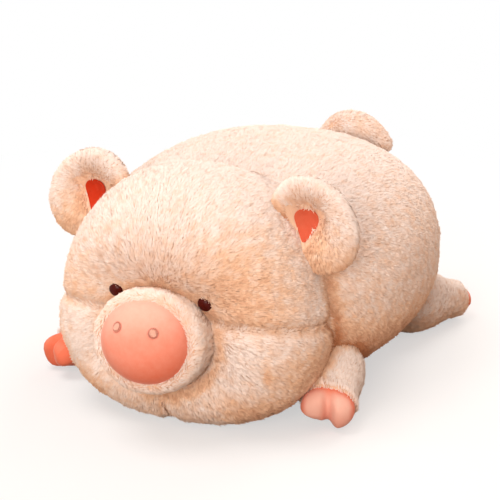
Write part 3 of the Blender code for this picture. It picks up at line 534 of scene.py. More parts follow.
def pile_tree(sizes, spacing, seed):
    """Nodes that plant strands on a skin, lean them by its comb attribute and make them a mesh."""
    tree = bpy.data.node_groups.new("pile", "GeometryNodeTree")
    tree.interface.new_socket("Geometry", in_out="INPUT", socket_type="NodeSocketGeometry")
    tree.interface.new_socket("Geometry", in_out="OUTPUT", socket_type="NodeSocketGeometry")
    start = add_node(tree, "NodeGroupInput")
    named = {}
    for name, kind in (("comb", "FLOAT_VECTOR"), ("pile", "FLOAT"), ("thick", "FLOAT"), ("tone", "FLOAT"),
                       ("along", "FLOAT"), ("shade", "FLOAT")):
        named[name] = add_node(tree, "GeometryNodeInputNamedAttribute", {"Name": name},
                               data_type=kind).outputs["Attribute"]
    spread = add_node(tree, "GeometryNodeDistributePointsOnFaces",
                      {"Mesh": start.outputs[0], "Distance Min": spacing,
                       "Density Max": CROWD_SHARE / spacing ** 2, "Density Factor": named["thick"],
                       "Seed": seed}, distribute_method="POISSON")
    normal = spread.outputs["Normal"]
    points = spread.outputs["Points"]
    where = add_node(tree, "GeometryNodeInputPosition").outputs[0]

    # Neighbours lean together in broad and fine tufts, and each strand strays a little by itself.
    lean = named["comb"]
    for tightness, weight in ((75.0, 4), (190.0, 3)):
        noise = add_node(tree, "ShaderNodeTexNoise", {"Vector": where, "Scale": tightness, "Detail": 1.0})
        centred = add_node(tree, "ShaderNodeVectorMath", {0: noise.outputs["Color"], 1: (0.5, 0.5, 0.5)},
                           operation="SUBTRACT")
        push = add_node(tree, "ShaderNodeVectorMath",
                        {0: centred.outputs[0], "Scale": sizes.tuft_share * weight}, operation="SCALE")
        lean = add_node(tree, "ShaderNodeVectorMath", {0: lean, 1: push.outputs[0]},
                        operation="ADD").outputs[0]
    stray = add_node(tree, "FunctionNodeRandomValue", {0: (-1, -1, -1), 1: (1, 1, 1), "Seed": seed + 1},
                     data_type="FLOAT_VECTOR")
    push = add_node(tree, "ShaderNodeVectorMath", {0: stray.outputs[0], "Scale": sizes.stray_share},
                    operation="SCALE")
    lean = add_node(tree, "ShaderNodeVectorMath", {0: lean, 1: push.outputs[0]}, operation="ADD")
    rise = add_node(tree, "ShaderNodeVectorMath", {0: normal, "Scale": RISE_SHARE}, operation="SCALE")
    whole = add_node(tree, "ShaderNodeVectorMath", {0: rise.outputs[0], 1: lean.outputs[0]}, operation="ADD")
    heading = add_node(tree, "ShaderNodeVectorMath", {0: whole.outputs[0]}, operation="NORMALIZE").outputs[0]
    turn = add_node(tree, "FunctionNodeAlignRotationToVector", {"Vector": heading}, axis="Z")
    turn = add_node(tree, "FunctionNodeAlignRotationToVector",
                    {"Rotation": turn.outputs[0], "Vector": normal}, axis="Y", pivot_axis="Z")
    spin = add_node(tree, "FunctionNodeRandomValue", {2: -0.35, 3: 0.35, "Seed": seed + 2},
                    data_type="FLOAT")
    spun = add_node(tree, "FunctionNodeAxisAngleToRotation", {"Axis": (0, 0, 1), "Angle": spin.outputs[1]})
    turn = add_node(tree, "FunctionNodeRotateRotation", {0: turn.outputs[0], 1: spun.outputs[0]},
                    rotation_space="LOCAL")
    # Each strand has a length and a width of its own.
    jitter = add_node(tree, "FunctionNodeRandomValue", {2: 0.75, 3: 1.15, "Seed": seed + 3},
                      data_type="FLOAT")
    long = add_node(tree, "ShaderNodeMath", {0: named["pile"], 1: jitter.outputs[1]}, operation="MULTIPLY")
    long = add_node(tree, "ShaderNodeMath", {0: long.outputs[0], 1: sizes.pile_length},
                    operation="MULTIPLY").outputs[0]
    wide = add_node(tree, "FunctionNodeRandomValue",
                    {2: 0.7 * sizes.strand_width, 3: 1.25 * sizes.strand_width, "Seed": seed + 4},
                    data_type="FLOAT").outputs[1]
    scale = add_node(tree, "ShaderNodeCombineXYZ", {0: wide, 1: long, 2: long})
    # Its tone is that of its place, painted shade included, with its own and its clump's differences.
    own = add_node(tree, "FunctionNodeRandomValue", {2: -0.07, 3: 0.07, "Seed": seed + 5}, data_type="FLOAT")
    clump = add_node(tree, "ShaderNodeTexNoise", {"Vector": where, "Scale": 120.0, "Detail": 2.0})
    toned = add_node(tree, "ShaderNodeMath", {0: named["tone"], 1: own.outputs[1]}, operation="ADD")
    centred = add_node(tree, "ShaderNodeMath", {0: clump.outputs["Fac"], 1: 0.5}, operation="SUBTRACT")
    push = add_node(tree, "ShaderNodeMath", {0: centred.outputs[0], 1: 1.2}, operation="MULTIPLY")
    toned = add_node(tree, "ShaderNodeMath", {0: toned.outputs[0], 1: push.outputs[0]}, operation="ADD")
    for name, value, kind in (("shade", toned.outputs[0], "FLOAT"), ("skin_normal", normal, "FLOAT_VECTOR")):
        points = add_node(tree, "GeometryNodeStoreNamedAttribute",
                          {"Geometry": points, "Name": name, "Value": value},
                          data_type=kind, domain="POINT").outputs[0]
    tuft = add_node(tree, "GeometryNodeObjectInfo", {"Object": strand()}, transform_space="ORIGINAL")
    planted = add_node(tree, "GeometryNodeInstanceOnPoints",
                       {"Points": points, "Instance": tuft.outputs["Geometry"], "Rotation": turn.outputs[0],
                        "Scale": scale.outputs[0]})
    solid = add_node(tree, "GeometryNodeRealizeInstances", {0: planted.outputs[0]})
    spot = add_node(tree, "ShaderNodeCombineXYZ", {0: named["shade"], 1: named["along"]})
    mapped = add_node(tree, "GeometryNodeStoreNamedAttribute",
                      {"Geometry": solid.outputs[0], "Name": "OFBake", "Value": spot.outputs[0]},
                      data_type="FLOAT2", domain="CORNER")
    add_node(tree, "NodeGroupOutput", {0: mapped.outputs[0]})
    return tree


def bare(tone):
    """What groom gives where no pile grows. The tone still fades into the strands at the edge."""
    return Vector((0, 0, 1)), 1, 0, tone


def grow_pile(skin, name, body, groom, seed, spacing_share=1.0):
    """Brushed pile on a skin, as one piece. groom(place) gives comb, pile, thick, and tone with painted
    shade.
    """
    sizes = bpy.context.scene.pig_sizes
    mesh = skin.data.copy()
    count = len(mesh.vertices)
    comb, pile, thick, tone = np.zeros((count, 3)), np.ones(count), np.zeros(count), np.ones(count)
    normals = mesh.vertex_normals
    for index, vert in enumerate(mesh.vertices):
        normal = normals[index].vector
        lean, pile[index], thick[index], tone[index] = groom(vert.co)
        comb[index] = (lean - normal * lean.dot(normal)).normalized() * sizes.comb_share
    for label, kind, values in (("comb", "FLOAT_VECTOR", comb), ("pile", "FLOAT", pile),
                                ("thick", "FLOAT", thick), ("tone", "FLOAT", tone)):
        layer = mesh.attributes.new(label, kind, "POINT")
        layer.data.foreach_set("vector" if kind == "FLOAT_VECTOR" else "value", values.ravel())
    ground = bpy.data.objects.new("ground_" + name, mesh)
    bpy.context.scene.collection.objects.link(ground)
    planting = ground.modifiers.new("pile", "NODES")
    planting.node_group = pile_tree(sizes, sizes.pile_gap * spacing_share, seed)
    grown = bpy.data.meshes.new_from_object(ground.evaluated_get(bpy.context.evaluated_depsgraph_get()))
    bpy.data.objects.remove(ground)
    grown.name = name
    count = len(grown.vertices)
    places = np.empty(count * 3, dtype=np.float32)
    grown.vertices.foreach_get("co", places)
    places = places.reshape(-1, 3)
    places[:, 2] = np.maximum(places[:, 2], STRAND_FLOOR)
    grown.vertices.foreach_set("co", places.ravel())
    skin_normal = np.empty(count * 3, dtype=np.float32)
    grown.attributes["skin_normal"].data.foreach_get("vector", skin_normal)
    own = np.empty(count * 3, dtype=np.float32)
    grown.vertex_normals.foreach_get("vector", own)
    mixed = SKIN_NORMAL_SHARE * skin_normal.reshape(-1, 3) + (1 - SKIN_NORMAL_SHARE) * own.reshape(-1, 3)
    mixed /= np.maximum(1e-6, np.linalg.norm(mixed, axis=1))[:, None]
    for label in ("skin_normal", "comb", "pile", "thick", "tone", "shade", "along"):
        layer = grown.attributes.get(label)
        if layer:
            grown.attributes.remove(layer)
    grown.shade_smooth()
    grown.normals_split_custom_set_from_vertices(mixed)
    grown.materials.clear()
    grown.materials.append(finishes()["pile"])
    made = bpy.data.objects.new(name, grown)
    bpy.context.scene.collection.objects.link(made)
    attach(made, body)


# Body
def seam_dip(place, seams, depth, width):
    """How far the seams near a place pull it in."""
    return depth * max([hill(distance, width) for distance in seams] or [0])


def make_body():
    sizes = bpy.context.scene.pig_sizes
    finish = finishes()
    bm = ball_grid(SKIN_STEPS)
    for vert in bm.verts:
        place = BODY.point(vert.co, -sizes.cloth_depth)
        dip = 0.15 * seam_dip(place, [place.x], sizes.seam_depth, sizes.seam_width) if place.z > 0.1 else 0
        vert.co = place + vert.co * (neck_fill(place, HEAD) - dip)
        vert.co.z = max(vert.co.z, COVER_FLOOR)
    cover = add_piece("body_cover", bm, finish["backing"], "torso")
    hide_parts("body_panel_left", "body_panel_right", "belly_panel", "body_stuffing")

    def groom(side, end):
        def values(place):
            if (place.x * side < -SEAM_OVERLAP or place.y * end < -SEAM_OVERLAP or place.z < PILE_LOW
                    or HEAD.inside(place, 0.004)):
                return Vector((0, 1, 0)), 1, 0, 0.6
            lean = Vector((0, 0.75, -0.45))
            # Painted shade: the pile is painted deeper and warmer in the creases at the neck, round the legs
            # and at the tail's root, low on the body, on the shoulder by the head and along the flanks
            neck = hill(HEAD.gap(place), 0.008) * step(0.2 - place.z, -0.03, 0.03)
            leg = hill(limb_gap(place), 0.01)
            root = hill((place - TAIL_SPOT - Vector((0.03, -0.008, -0.012))).length, 0.02)
            low = step(0.125 - place.z, 0, 0.1)
            front = hill(HEAD.gap(place), 0.05) * step(0.15 - place.z, -0.03, 0.06)
            flank = step(abs(place.x), 0.1, 0.19)
            return (lean, 1 - 0.3 * neck, 1,
                    0.85 - 0.9 * max(neck, 0.7 * leg, root) - 1.35 * low - 0.28 * front - 0.25 * flank)
        return values

    for side, name in ((1, "left"), (-1, "right")):
        grow_pile(cover, "shoulder_pile_" + name, "torso", groom(side, -1), seed=10 + side)
        grow_pile(cover, "rump_pile_" + name, "torso", groom(side, 1), seed=20 + side)


def limb_gap(place):
    """Distance from a place to the side of the nearest leg's ball."""
    spots = (FORELEG_SPOT, HIND_LEG_SPOT)
    away = [Vector((abs(place.x) - spot.x, place.y - spot.y, place.z - spot.z)).length for spot in spots]
    return min(away) - LEG_BALL_RADIUS


# Head
def cheek_seam_distance(place):
    """Signed height of a place over the cheek seam."""
    ahead = HEAD_Y - place.y
    return (place.z - SEAM_HEIGHT - ahead * math.tan(SEAM_TILT)) * math.cos(SEAM_TILT)


def make_head():
    sizes = bpy.context.scene.pig_sizes
    finish = finishes()
    bm = ball_grid(SKIN_STEPS)
    for vert in bm.verts:
        place = HEAD.point(vert.co, -sizes.cloth_depth)
        seams = [cheek_seam_distance(place)]
        if seams[0] < 0:
            seams.append(place.x)
        dip = seam_dip(place, seams, sizes.seam_depth, sizes.seam_width)
        vert.co = place + vert.co * (neck_fill(place, BODY) - dip)
        vert.co.z = max(vert.co.z, COVER_FLOOR)
    cover = add_piece("head_cover", bm, finish["backing"], "torso")
    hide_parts("head_top_panel", "cheek_panel_left", "cheek_panel_right", "head_stuffing")
    snout = MUZZLE_SEAT + Vector((0, -0.02, 0))

    def groom(panel):
        def values(place):
            height = cheek_seam_distance(place)
            part = "top" if height > 0 else ("left" if place.x > 0 else "right")
            away = place - snout
            flat = math.hypot(away.x, away.z / MUZZLE_FLAT)
            eye = math.hypot(abs(place.x) - EYE_X, place.z - EYE_Z) if place.y < HEAD_Y else 1
            hidden = (place.z < PILE_LOW or BODY.inside(place, 0.004) or eye < EYE_CLEARING
                      or (flat < SNOUT_CLEARING and place.y < HEAD_Y))
            if part != panel or hidden:
                return bare(0.6)
            lean = Vector((away.x, 0, away.z)).normalized() * 0.6 + Vector((0, 0.45, -0.25))
            seam = hill(height, sizes.seam_width)
            if height < 0:
                seam = max(seam, hill(place.x, sizes.seam_width))
            # Painted shade, deeper and warmer: in the creases of the cheek seam, the neck, round the band and
            # by the foreleg, on the left forehead, on the temples, and low on the cheeks and under the chin;
            # warmer tones on the brow; and shorter pile near the band
            ahead = HEAD_Y - place.y
            brow = hill(place.x, 0.09) * hill(place.z - 0.175, 0.05) * step(ahead, 0, 0.05)
            near = step(0.085 - flat, 0, 0.02) * step(ahead, 0.03, 0.06)
            forehead_painted_shade = hill(place.x - 0.085, 0.045) * hill(place.z - 0.185, 0.04) * step(ahead, -0.03, 0.03)
            temple = (hill(abs(place.x) - 0.1, 0.05) * hill(place.z - 0.135, 0.04)
                      * step(ahead, -0.02, 0.03) * step(height, 0, 0.01))
            neck = hill(BODY.gap(place), 0.012) * step(0.2 - place.z, -0.03, 0.03)
            band = hill(flat - 0.066, 0.008) * step(ahead, 0.02, 0.05)
            crease = max(0.6 * seam, neck, 0.8 * band, 0.8 * hill(limb_gap(place), 0.008))
            chin = max(0.4 * step(0.085 - place.z, 0, 0.06),
                       step(0.085 - place.z, 0, 0.06) * step(abs(place.x), 0.03, 0.09),
                       step(abs(place.x), 0.09, 0.15) * step(0.12 - place.z, -0.02, 0.06))
            fold_painted_shade = hill(place.x - 0.112, 0.004) * hill(place.z - 0.081, 0.014) * step(ahead, 0.03, 0.06)
            crease = max(crease, 0.8 * fold_painted_shade)
            return (lean, (1 - 0.35 * seam - 0.3 * near) * (1 - 0.55 * hill(eye, 0.018)), 1,
                    0.88 - 0.9 * crease - 0.3 * brow - 0.5 * forehead_painted_shade - 0.5 * temple - 0.95 * chin)
        return values

    grow_pile(cover, "head_pile_top", "torso", groom("top"), seed=30)
    grow_pile(cover, "cheek_pile_left", "torso", groom("left"), seed=40)
    grow_pile(cover, "cheek_pile_right", "torso", groom("right"), seed=50)


# Muzzle: the band is 2 mm and the disc 1.5 mm smaller in radius than its solid
BAND_RADIUS = 0.0635
BAND_LENGTH = 0.043
BAND_BACK = -0.02
BAND_ROLL = 0.012
BAND_LIP = 0.0045
BAND_FLOOR = 0.030
DISC_RADIUS = 0.048
DISC_EDGE = 0.001
DISC_CROWN = 0.0235
DISC_SEAT = BAND_LENGTH - 0.004
CROWN_SHARE = 1.15
MUZZLE_SEGMENTS = 128


def crown_height(radius):
    """Height of the domed snout over the band's rim at a distance from its axis."""
    part = min(1, radius / (DISC_RADIUS + DISC_EDGE))
    return DISC_CROWN * (1 - part ** 2.4) ** 0.62


def muzzle_place():
    """Where the muzzle sits, with local Z along the snout."""
    turn = aim(Vector((0, -math.cos(MUZZLE_TILT), math.sin(MUZZLE_TILT))))
    return Matrix.Translation(MUZZLE_SEAT) @ turn


def make_muzzle():
    sizes = bpy.context.scene.pig_sizes
    finish = finishes()
    place = muzzle_place()
    depth = sizes.cloth_depth
    profile = [(0, BAND_BACK), (BAND_RADIUS * 0.96 - depth, BAND_BACK)]
    middle, half = DISC_RADIUS + BAND_LIP, BAND_RADIUS - depth - DISC_RADIUS - BAND_LIP
    for turn_step in range(15):
        turn = math.pi * turn_step / 14
        profile.append((middle + half * math.cos(turn),
                        BAND_LENGTH - BAND_ROLL - depth + BAND_ROLL * math.sin(turn)))
    profile += [(DISC_RADIUS - 0.004, BAND_FLOOR), (0, BAND_FLOOR)]
    bm = turned(profile, MUZZLE_SEGMENTS)
    bmesh.ops.scale(bm, vec=(1, MUZZLE_FLAT, 1), verts=bm.verts)
    band = add_piece("muzzle_cover", bm, finish["backing"], "torso", place)
    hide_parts("muzzle_band", "muzzle_stuffing")
    back = place.inverted()

    def groom(spot):
        local = back @ spot
        radius = math.hypot(local.x, local.y / MUZZLE_FLAT)
        if local.z < 0.004 or radius < DISC_RADIUS - 0.0015:
            return bare(0.7)
        around = place.to_3x3() @ Vector((-local.y, local.x, 0)).normalized()
        lean = around * 0.25 + Vector((0, 0.5, -0.15))
        return lean, 0.7, 1, 0.7

    grow_pile(band, "muzzle_pile", "torso", groom, seed=60, spacing_share=0.95)
    profile = [(0, BAND_FLOOR + 0.001), (DISC_RADIUS - DISC_EDGE, BAND_FLOOR + 0.001)]
    for turn_step in range(33):
        radius = (DISC_RADIUS + DISC_EDGE) * math.cos(math.pi / 2 * turn_step / 32)
        profile.append((radius if turn_step < 32 else 0, DISC_SEAT + crown_height(radius) * CROWN_SHARE))
    bm = turned(profile, MUZZLE_SEGMENTS)
    bmesh.ops.scale(bm, vec=(1, MUZZLE_FLAT, 1), verts=bm.verts)
    disc = add_piece("snout_velour", bm, finish["velour"], "torso", place)
    # Painted light: paler towards the top and the pig's right, where the light falls; painted shade,
    # deeper towards the bottom and the pig's left
    store_painted_light(disc, lambda spot: 0.34 + 0.5 * step(spot.z - 0.25 * spot.x, 0.112, 0.155)
               - 0.34 * step(0.105 - spot.z + 0.5 * spot.x, -0.01, 0.05))
    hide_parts("snout_disc")


# Nostrils: a ring of stitches round rows of satin stitches. A stitch is a ball with this half outline.
STITCH_PROFILE = [(0, -1), *((math.sin(math.pi * row / 6), -math.cos(math.pi * row / 6))
                             for row in range(1, 6)), (0, 1)]
STITCH_SEGMENTS = 8
NOSTRIL_X, NOSTRIL_Y = 0.0203, 0.0155
SATIN_RADIUS, SATIN_GAP, SATIN_RISE, SATIN_WIDTH = 0.0041, 0.00088, 0.0012, 0.0006
RING_RADIUS, RING_RISE, RING_STITCHES, RING_SLANT = 0.0049, 0.0004, 26, 0.25
RING_STITCH = (0.0007, 0.0005, 0.0010, 1)
SLOPE_REACH = 0.002


def make_nostrils():
    finish = finishes()
    place = muzzle_place()
    for side, name in ((1, "left"), (-1, "right")):
        x, y = side * NOSTRIL_X, NOSTRIL_Y
        radius = math.hypot(x, y / MUZZLE_FLAT)
        height = DISC_SEAT + crown_height(radius) * CROWN_SHARE
        slope = (crown_height(radius) - crown_height(radius + SLOPE_REACH)) / SLOPE_REACH * CROWN_SHARE
        outwards = Vector((x, y / MUZZLE_FLAT, 0)).normalized() * slope
        local = Matrix.Translation((x, y, height)) @ aim(Vector((outwards.x, outwards.y, 1)))
        bm = bmesh.new()
        for row in range(-4, 5):
            across = row * SATIN_GAP
            half = math.sqrt(SATIN_RADIUS ** 2 - across ** 2)
            tie = Matrix.Translation((across, 0, SATIN_RISE)) @ Matrix.Rotation(math.pi / 2, 4, "X")
            turn_into(bm, STITCH_PROFILE, STITCH_SEGMENTS,
                      tie @ Matrix.Diagonal((SATIN_WIDTH, SATIN_WIDTH, half, 1)))
        made = add_piece("nostril_field_" + name, bm, finish["pale_thread"], "torso", place @ local)
        bm = bmesh.new()
        for stitch in range(RING_STITCHES):
            turn = math.tau * stitch / RING_STITCHES
            tie = Matrix.Rotation(turn, 4, "Z") @ Matrix.Translation((RING_RADIUS, 0, RING_RISE))
            tie @= Matrix.Rotation(math.pi / 2, 4, "Y") @ Matrix.Rotation(RING_SLANT, 4, "X")
            turn_into(bm, STITCH_PROFILE, STITCH_SEGMENTS, tie @ Matrix.Diagonal(RING_STITCH))
        made = add_piece("nostril_ring_" + name, bm, finish["thread"], "torso", place @ local)
        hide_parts("nostril_" + name)


# Eyes: a button sunk into the cloth, on a stem
EYE_SUNK, EYE_BACK, EYE_RIM = 0.0025, -0.002, 0.001
STEM_RADIUS, STEM_END = 0.0025, -0.017
EYE_SEGMENTS = 48


def make_eyes():
    sizes = bpy.context.scene.pig_sizes
    finish = finishes()
    reach = sizes.eye_radius
    front = HEAD.front_y(EYE_X, EYE_Z)
    slope_x = (HEAD.front_y(EYE_X + reach, EYE_Z) - HEAD.front_y(EYE_X - reach, EYE_Z)) / (2 * reach)
    slope_z = (HEAD.front_y(EYE_X, EYE_Z + reach) - HEAD.front_y(EYE_X, EYE_Z - reach)) / (2 * reach)
    for side, name in ((1, "left"), (-1, "right")):
        normal = Vector((side * slope_x, -1, slope_z)).normalized()
        local = Matrix.Translation(Vector((side * EYE_X, front, EYE_Z)) - normal * EYE_SUNK) @ aim(normal)
        profile = [(0, STEM_END), (STEM_RADIUS, STEM_END), (STEM_RADIUS, EYE_BACK),
                   (reach - EYE_RIM, EYE_BACK), (reach, -EYE_RIM)]
        for turn_step in range(17):
            turn = math.pi / 2 * turn_step / 16
            profile.append((reach * math.cos(turn) if turn_step < 16 else 0, sizes.eye_dome * math.sin(turn)))
        bm = turned(profile, EYE_SEGMENTS)
        made = add_piece("eye_button_" + name, bm, finish["eye"], "torso", local)
        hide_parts("eye_" + name)
        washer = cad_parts["eye_washer_" + name]
        washer.data.materials.clear()
        washer.data.materials.append(finish["washer"])


# Ears: a flattened ball with a cup that is deeper in front, and a lining low in the cup
EAR_HALF_WIDTH, EAR_HALF_HEIGHT, EAR_HALF_THICK, EAR_RISE = 0.055, 0.0455, 0.0175, 0.0225
CUP_DEPTH, CUP_BULGE = 0.021, 0.003
LINING_X, LINING_Z = 0.0095, 0.0138
LINING_HALF_WIDTH, LINING_HALF_HEIGHT, LINING_HALF_THICK, LINING_SUNK = 0.0145, 0.0167, 0.0015, 0.0006
LINING_FOOT, LINING_TOP = -0.02, 0.028
EAR_FRONT = 0.009


def ear_cup(across, up):
    """Share of its full depth that the cup of an ear has at a place, measured on the left ear."""
    return hill(across + 0.008, 0.021) * hill(up - 0.0205, 0.021)


def make_ears():
    sizes = bpy.context.scene.pig_sizes
    finish = finishes()
    depth = sizes.cloth_depth
    for side, name in ((1, "left"), (-1, "right")):
        spot = EAR_SPOT.copy()
        spot.x *= side
        place = Matrix.Translation(spot) @ Matrix.Rotation(side * EAR_LEAN, 4, "Y")
        bm = ball_grid(EAR_STEPS)
        for vert in bm.verts:
            unit = vert.co.copy()
            flat = math.hypot(unit.x, unit.z)
            across = flat ** 0.8
            x = (EAR_HALF_WIDTH - depth) * unit.x / max(flat, 1e-6) * across
            z = (EAR_HALF_HEIGHT - depth) * unit.z / max(flat, 1e-6) * across + EAR_RISE
            thick = (EAR_HALF_THICK - depth * 0.4) * power(unit.y, 0.75)
            cup = ear_cup(x * side, z)
            vert.co = Vector((x, thick + (CUP_DEPTH if unit.y < 0 else CUP_BULGE) * cup, z))
        cover = add_piece("ear_cover_" + name, bm, finish["backing"], "ear_" + name, place)
        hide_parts("ear_" + name)
        bm = ball_grid(LINING_STEPS)
        lean = Matrix.Rotation(EAR_LEAN, 2)
        for vert in bm.verts:
            unit = vert.co.copy()
            up = LINING_Z + LINING_HALF_HEIGHT * power(unit.z, 0.8)
            wide = LINING_HALF_WIDTH * step(up, LINING_FOOT, LINING_TOP) * power(unit.x, 0.8)
            x, z = lean @ Vector((LINING_X + wide, up))
            y = -(EAR_HALF_THICK - depth * 0.4) + CUP_DEPTH * ear_cup(x, z)
            vert.co = Vector((x * side, y + LINING_HALF_THICK * unit.y - LINING_SUNK, z))
        lining = add_piece("ear_velour_" + name, bm, finish["lining"], "ear_" + name, place)
        # Painted light: the near lining is painted half lit and the far one in painted shade, both painted
        # deeper lower down
        lit = 0.5 if side > 0 else 0.0
        store_painted_light(lining, lambda spot, lit=lit: lit - 0.3 * step(0.222 - spot.z, 0, 0.03))
        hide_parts("ear_lining_" + name)
        back = place.inverted()

        def groom(world, back=back, side=side, place=place):
            local = back @ world
            beside, up = (world.x - side * EAR_SPOT.x) * side - LINING_X, world.z - EAR_SPOT.z
            lined = (abs(beside) < 0.001 + 0.0185 * step(up, LINING_FOOT, LINING_TOP)
                     and -0.008 < up < 0.034)
            if HEAD.inside(world, 0.002) or (lined and local.y < EAR_FRONT):
                return bare(0.7)
            outward = place.to_3x3() @ Vector((local.x + side * 0.008, 0, local.z - 0.021)).normalized()
            cup = ear_cup(local.x * side, local.z) if local.y < EAR_FRONT else 0
            # Painted shade: the pile is painted deeper and warmer in the cup, round the lining, at the ear's
            # root by the head and low on the ear
            root = hill(HEAD.gap(world), 0.012)
            low = step(0.2 - world.z, -0.03, 0.02)
            painted_halo_shade = hill(math.hypot(beside, up - 0.014), 0.03) if local.y < EAR_FRONT else 0
            return (outward * (1 - 1.4 * cup) + Vector((0, 0.2, -0.2)), 0.8 - 0.4 * cup, 1,
                    0.9 - 0.35 * cup - 0.55 * painted_halo_shade - 0.75 * max(root, low))

        grow_pile(cover, "ear_pile_" + name, "ear_" + name, groom, seed=70 + side, spacing_share=0.95)


# Legs: the sleeve's ball, end, length and flatness, the hoof, and how far the sleeve's end slants
FORELEG = {"radius": 0.039, "end": 0.0315, "reach": 0.052, "flat": 0.74, "hoof_radius": 0.0285,
           "hoof_length": 0.030, "slant": 0.25}
HIND_LEG = {"radius": 0.038, "end": 0.0255, "reach": 0.082, "flat": 0.88, "hoof_radius": 0.0205,
            "hoof_length": 0.022, "slant": 0}
LEG_SEGMENTS = 64
# Radius and height of a hoof's outline, as shares of its radius and length
HOOF_SHARES = ((0.965, 0), (0.99, 0.15), (1, 0.3), (0.995, 0.45), (0.96, 0.6), (0.89, 0.74), (0.77, 0.86),
               (0.58, 0.94), (0.34, 0.985), (0.15, 1))


def make_leg(label, hoof, side, spot, splay, seed, radius, end, reach, flat, hoof_radius, hoof_length, slant):
    """Sleeve, hoof and pile of one leg."""
    sizes = bpy.context.scene.pig_sizes
    finish = finishes()
    depth = sizes.cloth_depth
    place_at = Vector((side * spot.x, spot.y, spot.z))
    drop = (radius - hoof_radius * flat) / (reach + hoof_length / 2)
    heading = Vector((math.sin(splay) * side, -math.cos(splay), -drop))
    place = Matrix.Translation(place_at) @ aim(heading)

    small = radius - depth
    profile = [(0, -small)]
    profile += [(small * math.cos(turn), small * math.sin(turn))
                for turn in [math.radians(angle) for angle in range(-80, 1, 8)]]
    cuff = end - depth
    for part in range(1, 13):
        along = part / 12
        profile.append((small + (cuff - small) * step(along, 0, 1), (reach - 0.004) * along))
    profile += [(cuff - 0.001, reach - 0.001), (cuff - 0.004, reach + 0.001), (cuff - 0.010, reach),
                (0, reach)]
    bm = turned(profile, LEG_SEGMENTS)
    for vert in bm.verts:
        vert.co.y *= (1 - (1 - flat) * step(vert.co.z, 0, reach)) * (1.16 if vert.co.y > 0 else 1)
        vert.co.x *= 1.05
        vert.co.z += slant * vert.co.x * side * step(vert.co.z, 0.6 * reach, reach)
    cover = add_piece(label + "_cover", bm, finish["backing"], label, place)
    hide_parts(label, label + "_stuffing")
    back = place.inverted()

    def groom(world):
        local = back @ world
        if (world.z < 0.0015 or local.z > reach + slant * local.x * side
                or BODY.inside(world, 0.003) or HEAD.inside(world, 0.003)):
            return bare(0.7)
        lean = (Vector((0, 0, 0.2)) - heading * 0.2 + (world - place_at).normalized() * 0.2
                + Vector((0, 0.5, 0)))
        # Painted shade: the pile is painted deeper where the leg meets the body or the head, and low towards
        # the floor
        top = max(hill(BODY.gap(world), 0.008), hill(HEAD.gap(world), 0.008))
        low = step((0.035 if slant else 0.05) - world.z, 0, 0.04)
        return lean, 0.8, 1, 0.9 - 0.9 * top - (0.4 if slant else 0.7) * low

    grow_pile(cover, label + "_pile", label, groom, seed=seed)
    profile = [(0, reach - 0.004), (hoof_radius * 0.9, reach - 0.004)]
    profile += [(hoof_radius * wide, reach + hoof_length * far) for wide, far in HOOF_SHARES]
    profile.append((0, reach + hoof_length))
    bm = turned(profile, LEG_SEGMENTS)
    bmesh.ops.subdivide_edges(bm, edges=bm.edges[:], cuts=1, use_grid_fill=True)
    for vert in bm.verts:
        far = max(0, (vert.co.z - reach) / hoof_length)
        cleft = hill(vert.co.x, 0.0065) * far
        inner = step(-vert.co.x * side, 0, 0.012)
        vert.co.z -= (0.5 * cleft + 0.25 * inner * far) * hoof_length
        vert.co.y *= flat * (1 - 0.4 * cleft) * (1 - 0.45 * inner * (vert.co.y < 0))
    tip = add_piece(hoof + "_velour", bm, finish["velour"], label, place)
    # Painted light: the near foreleg's hoof is painted lit and the far one in painted shade, the hind hooves
    # between
    lit = (1.0 if side > 0 else 0.1) if slant else 0.6

    # Painted shade: deeper low down, in a ring under the cuff, round the brim and in the cleft
    def painted_light(spot):
        local = back @ spot
        edge = hill(local.z - reach - slant * local.x * side, 0.008)
        brim = step(abs(local.x) / hoof_radius, 0.72, 1.0)
        cleft = hill(local.x, 0.004) * step(local.z, reach + 0.3 * hoof_length, reach + 0.9 * hoof_length)
        return lit - 0.4 * step(0.03 - spot.z, 0, 0.025) - edge - 0.8 * brim - 0.7 * cleft

    store_painted_light(tip, painted_light)
    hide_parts(hoof)


def make_forelegs():
    for side, name, splay in ((1, "left", 22), (-1, "right", 48)):
        make_leg("foreleg_" + name, "fore_hoof_" + name, side, FORELEG_SPOT, math.radians(splay),
                 100 + side, **FORELEG)


def make_hind_legs():
    for side, name in ((1, "left"), (-1, "right")):
        make_leg("hind_leg_" + name, "hind_hoof_" + name, side, HIND_LEG_SPOT, math.radians(158),
                 120 + side, **HIND_LEG)


# Tail: an arch that swells in the middle, with rounded ends
CURL_HALF_WIDTH, CURL_HEIGHT = 0.038, 0.0292
CURL_START, CURL_END = math.radians(180), math.radians(27)
TAIL_ROOT, TAIL_TIP, TAIL_SWELL = 0.0145, 0.013, 0.022
TAIL_STATIONS = 24
TAIL_SEGMENTS = 40
TAIL_DROP = 0.0045
END_ANGLES = [math.radians(angle) for angle in (20, 40, 60, 78)]


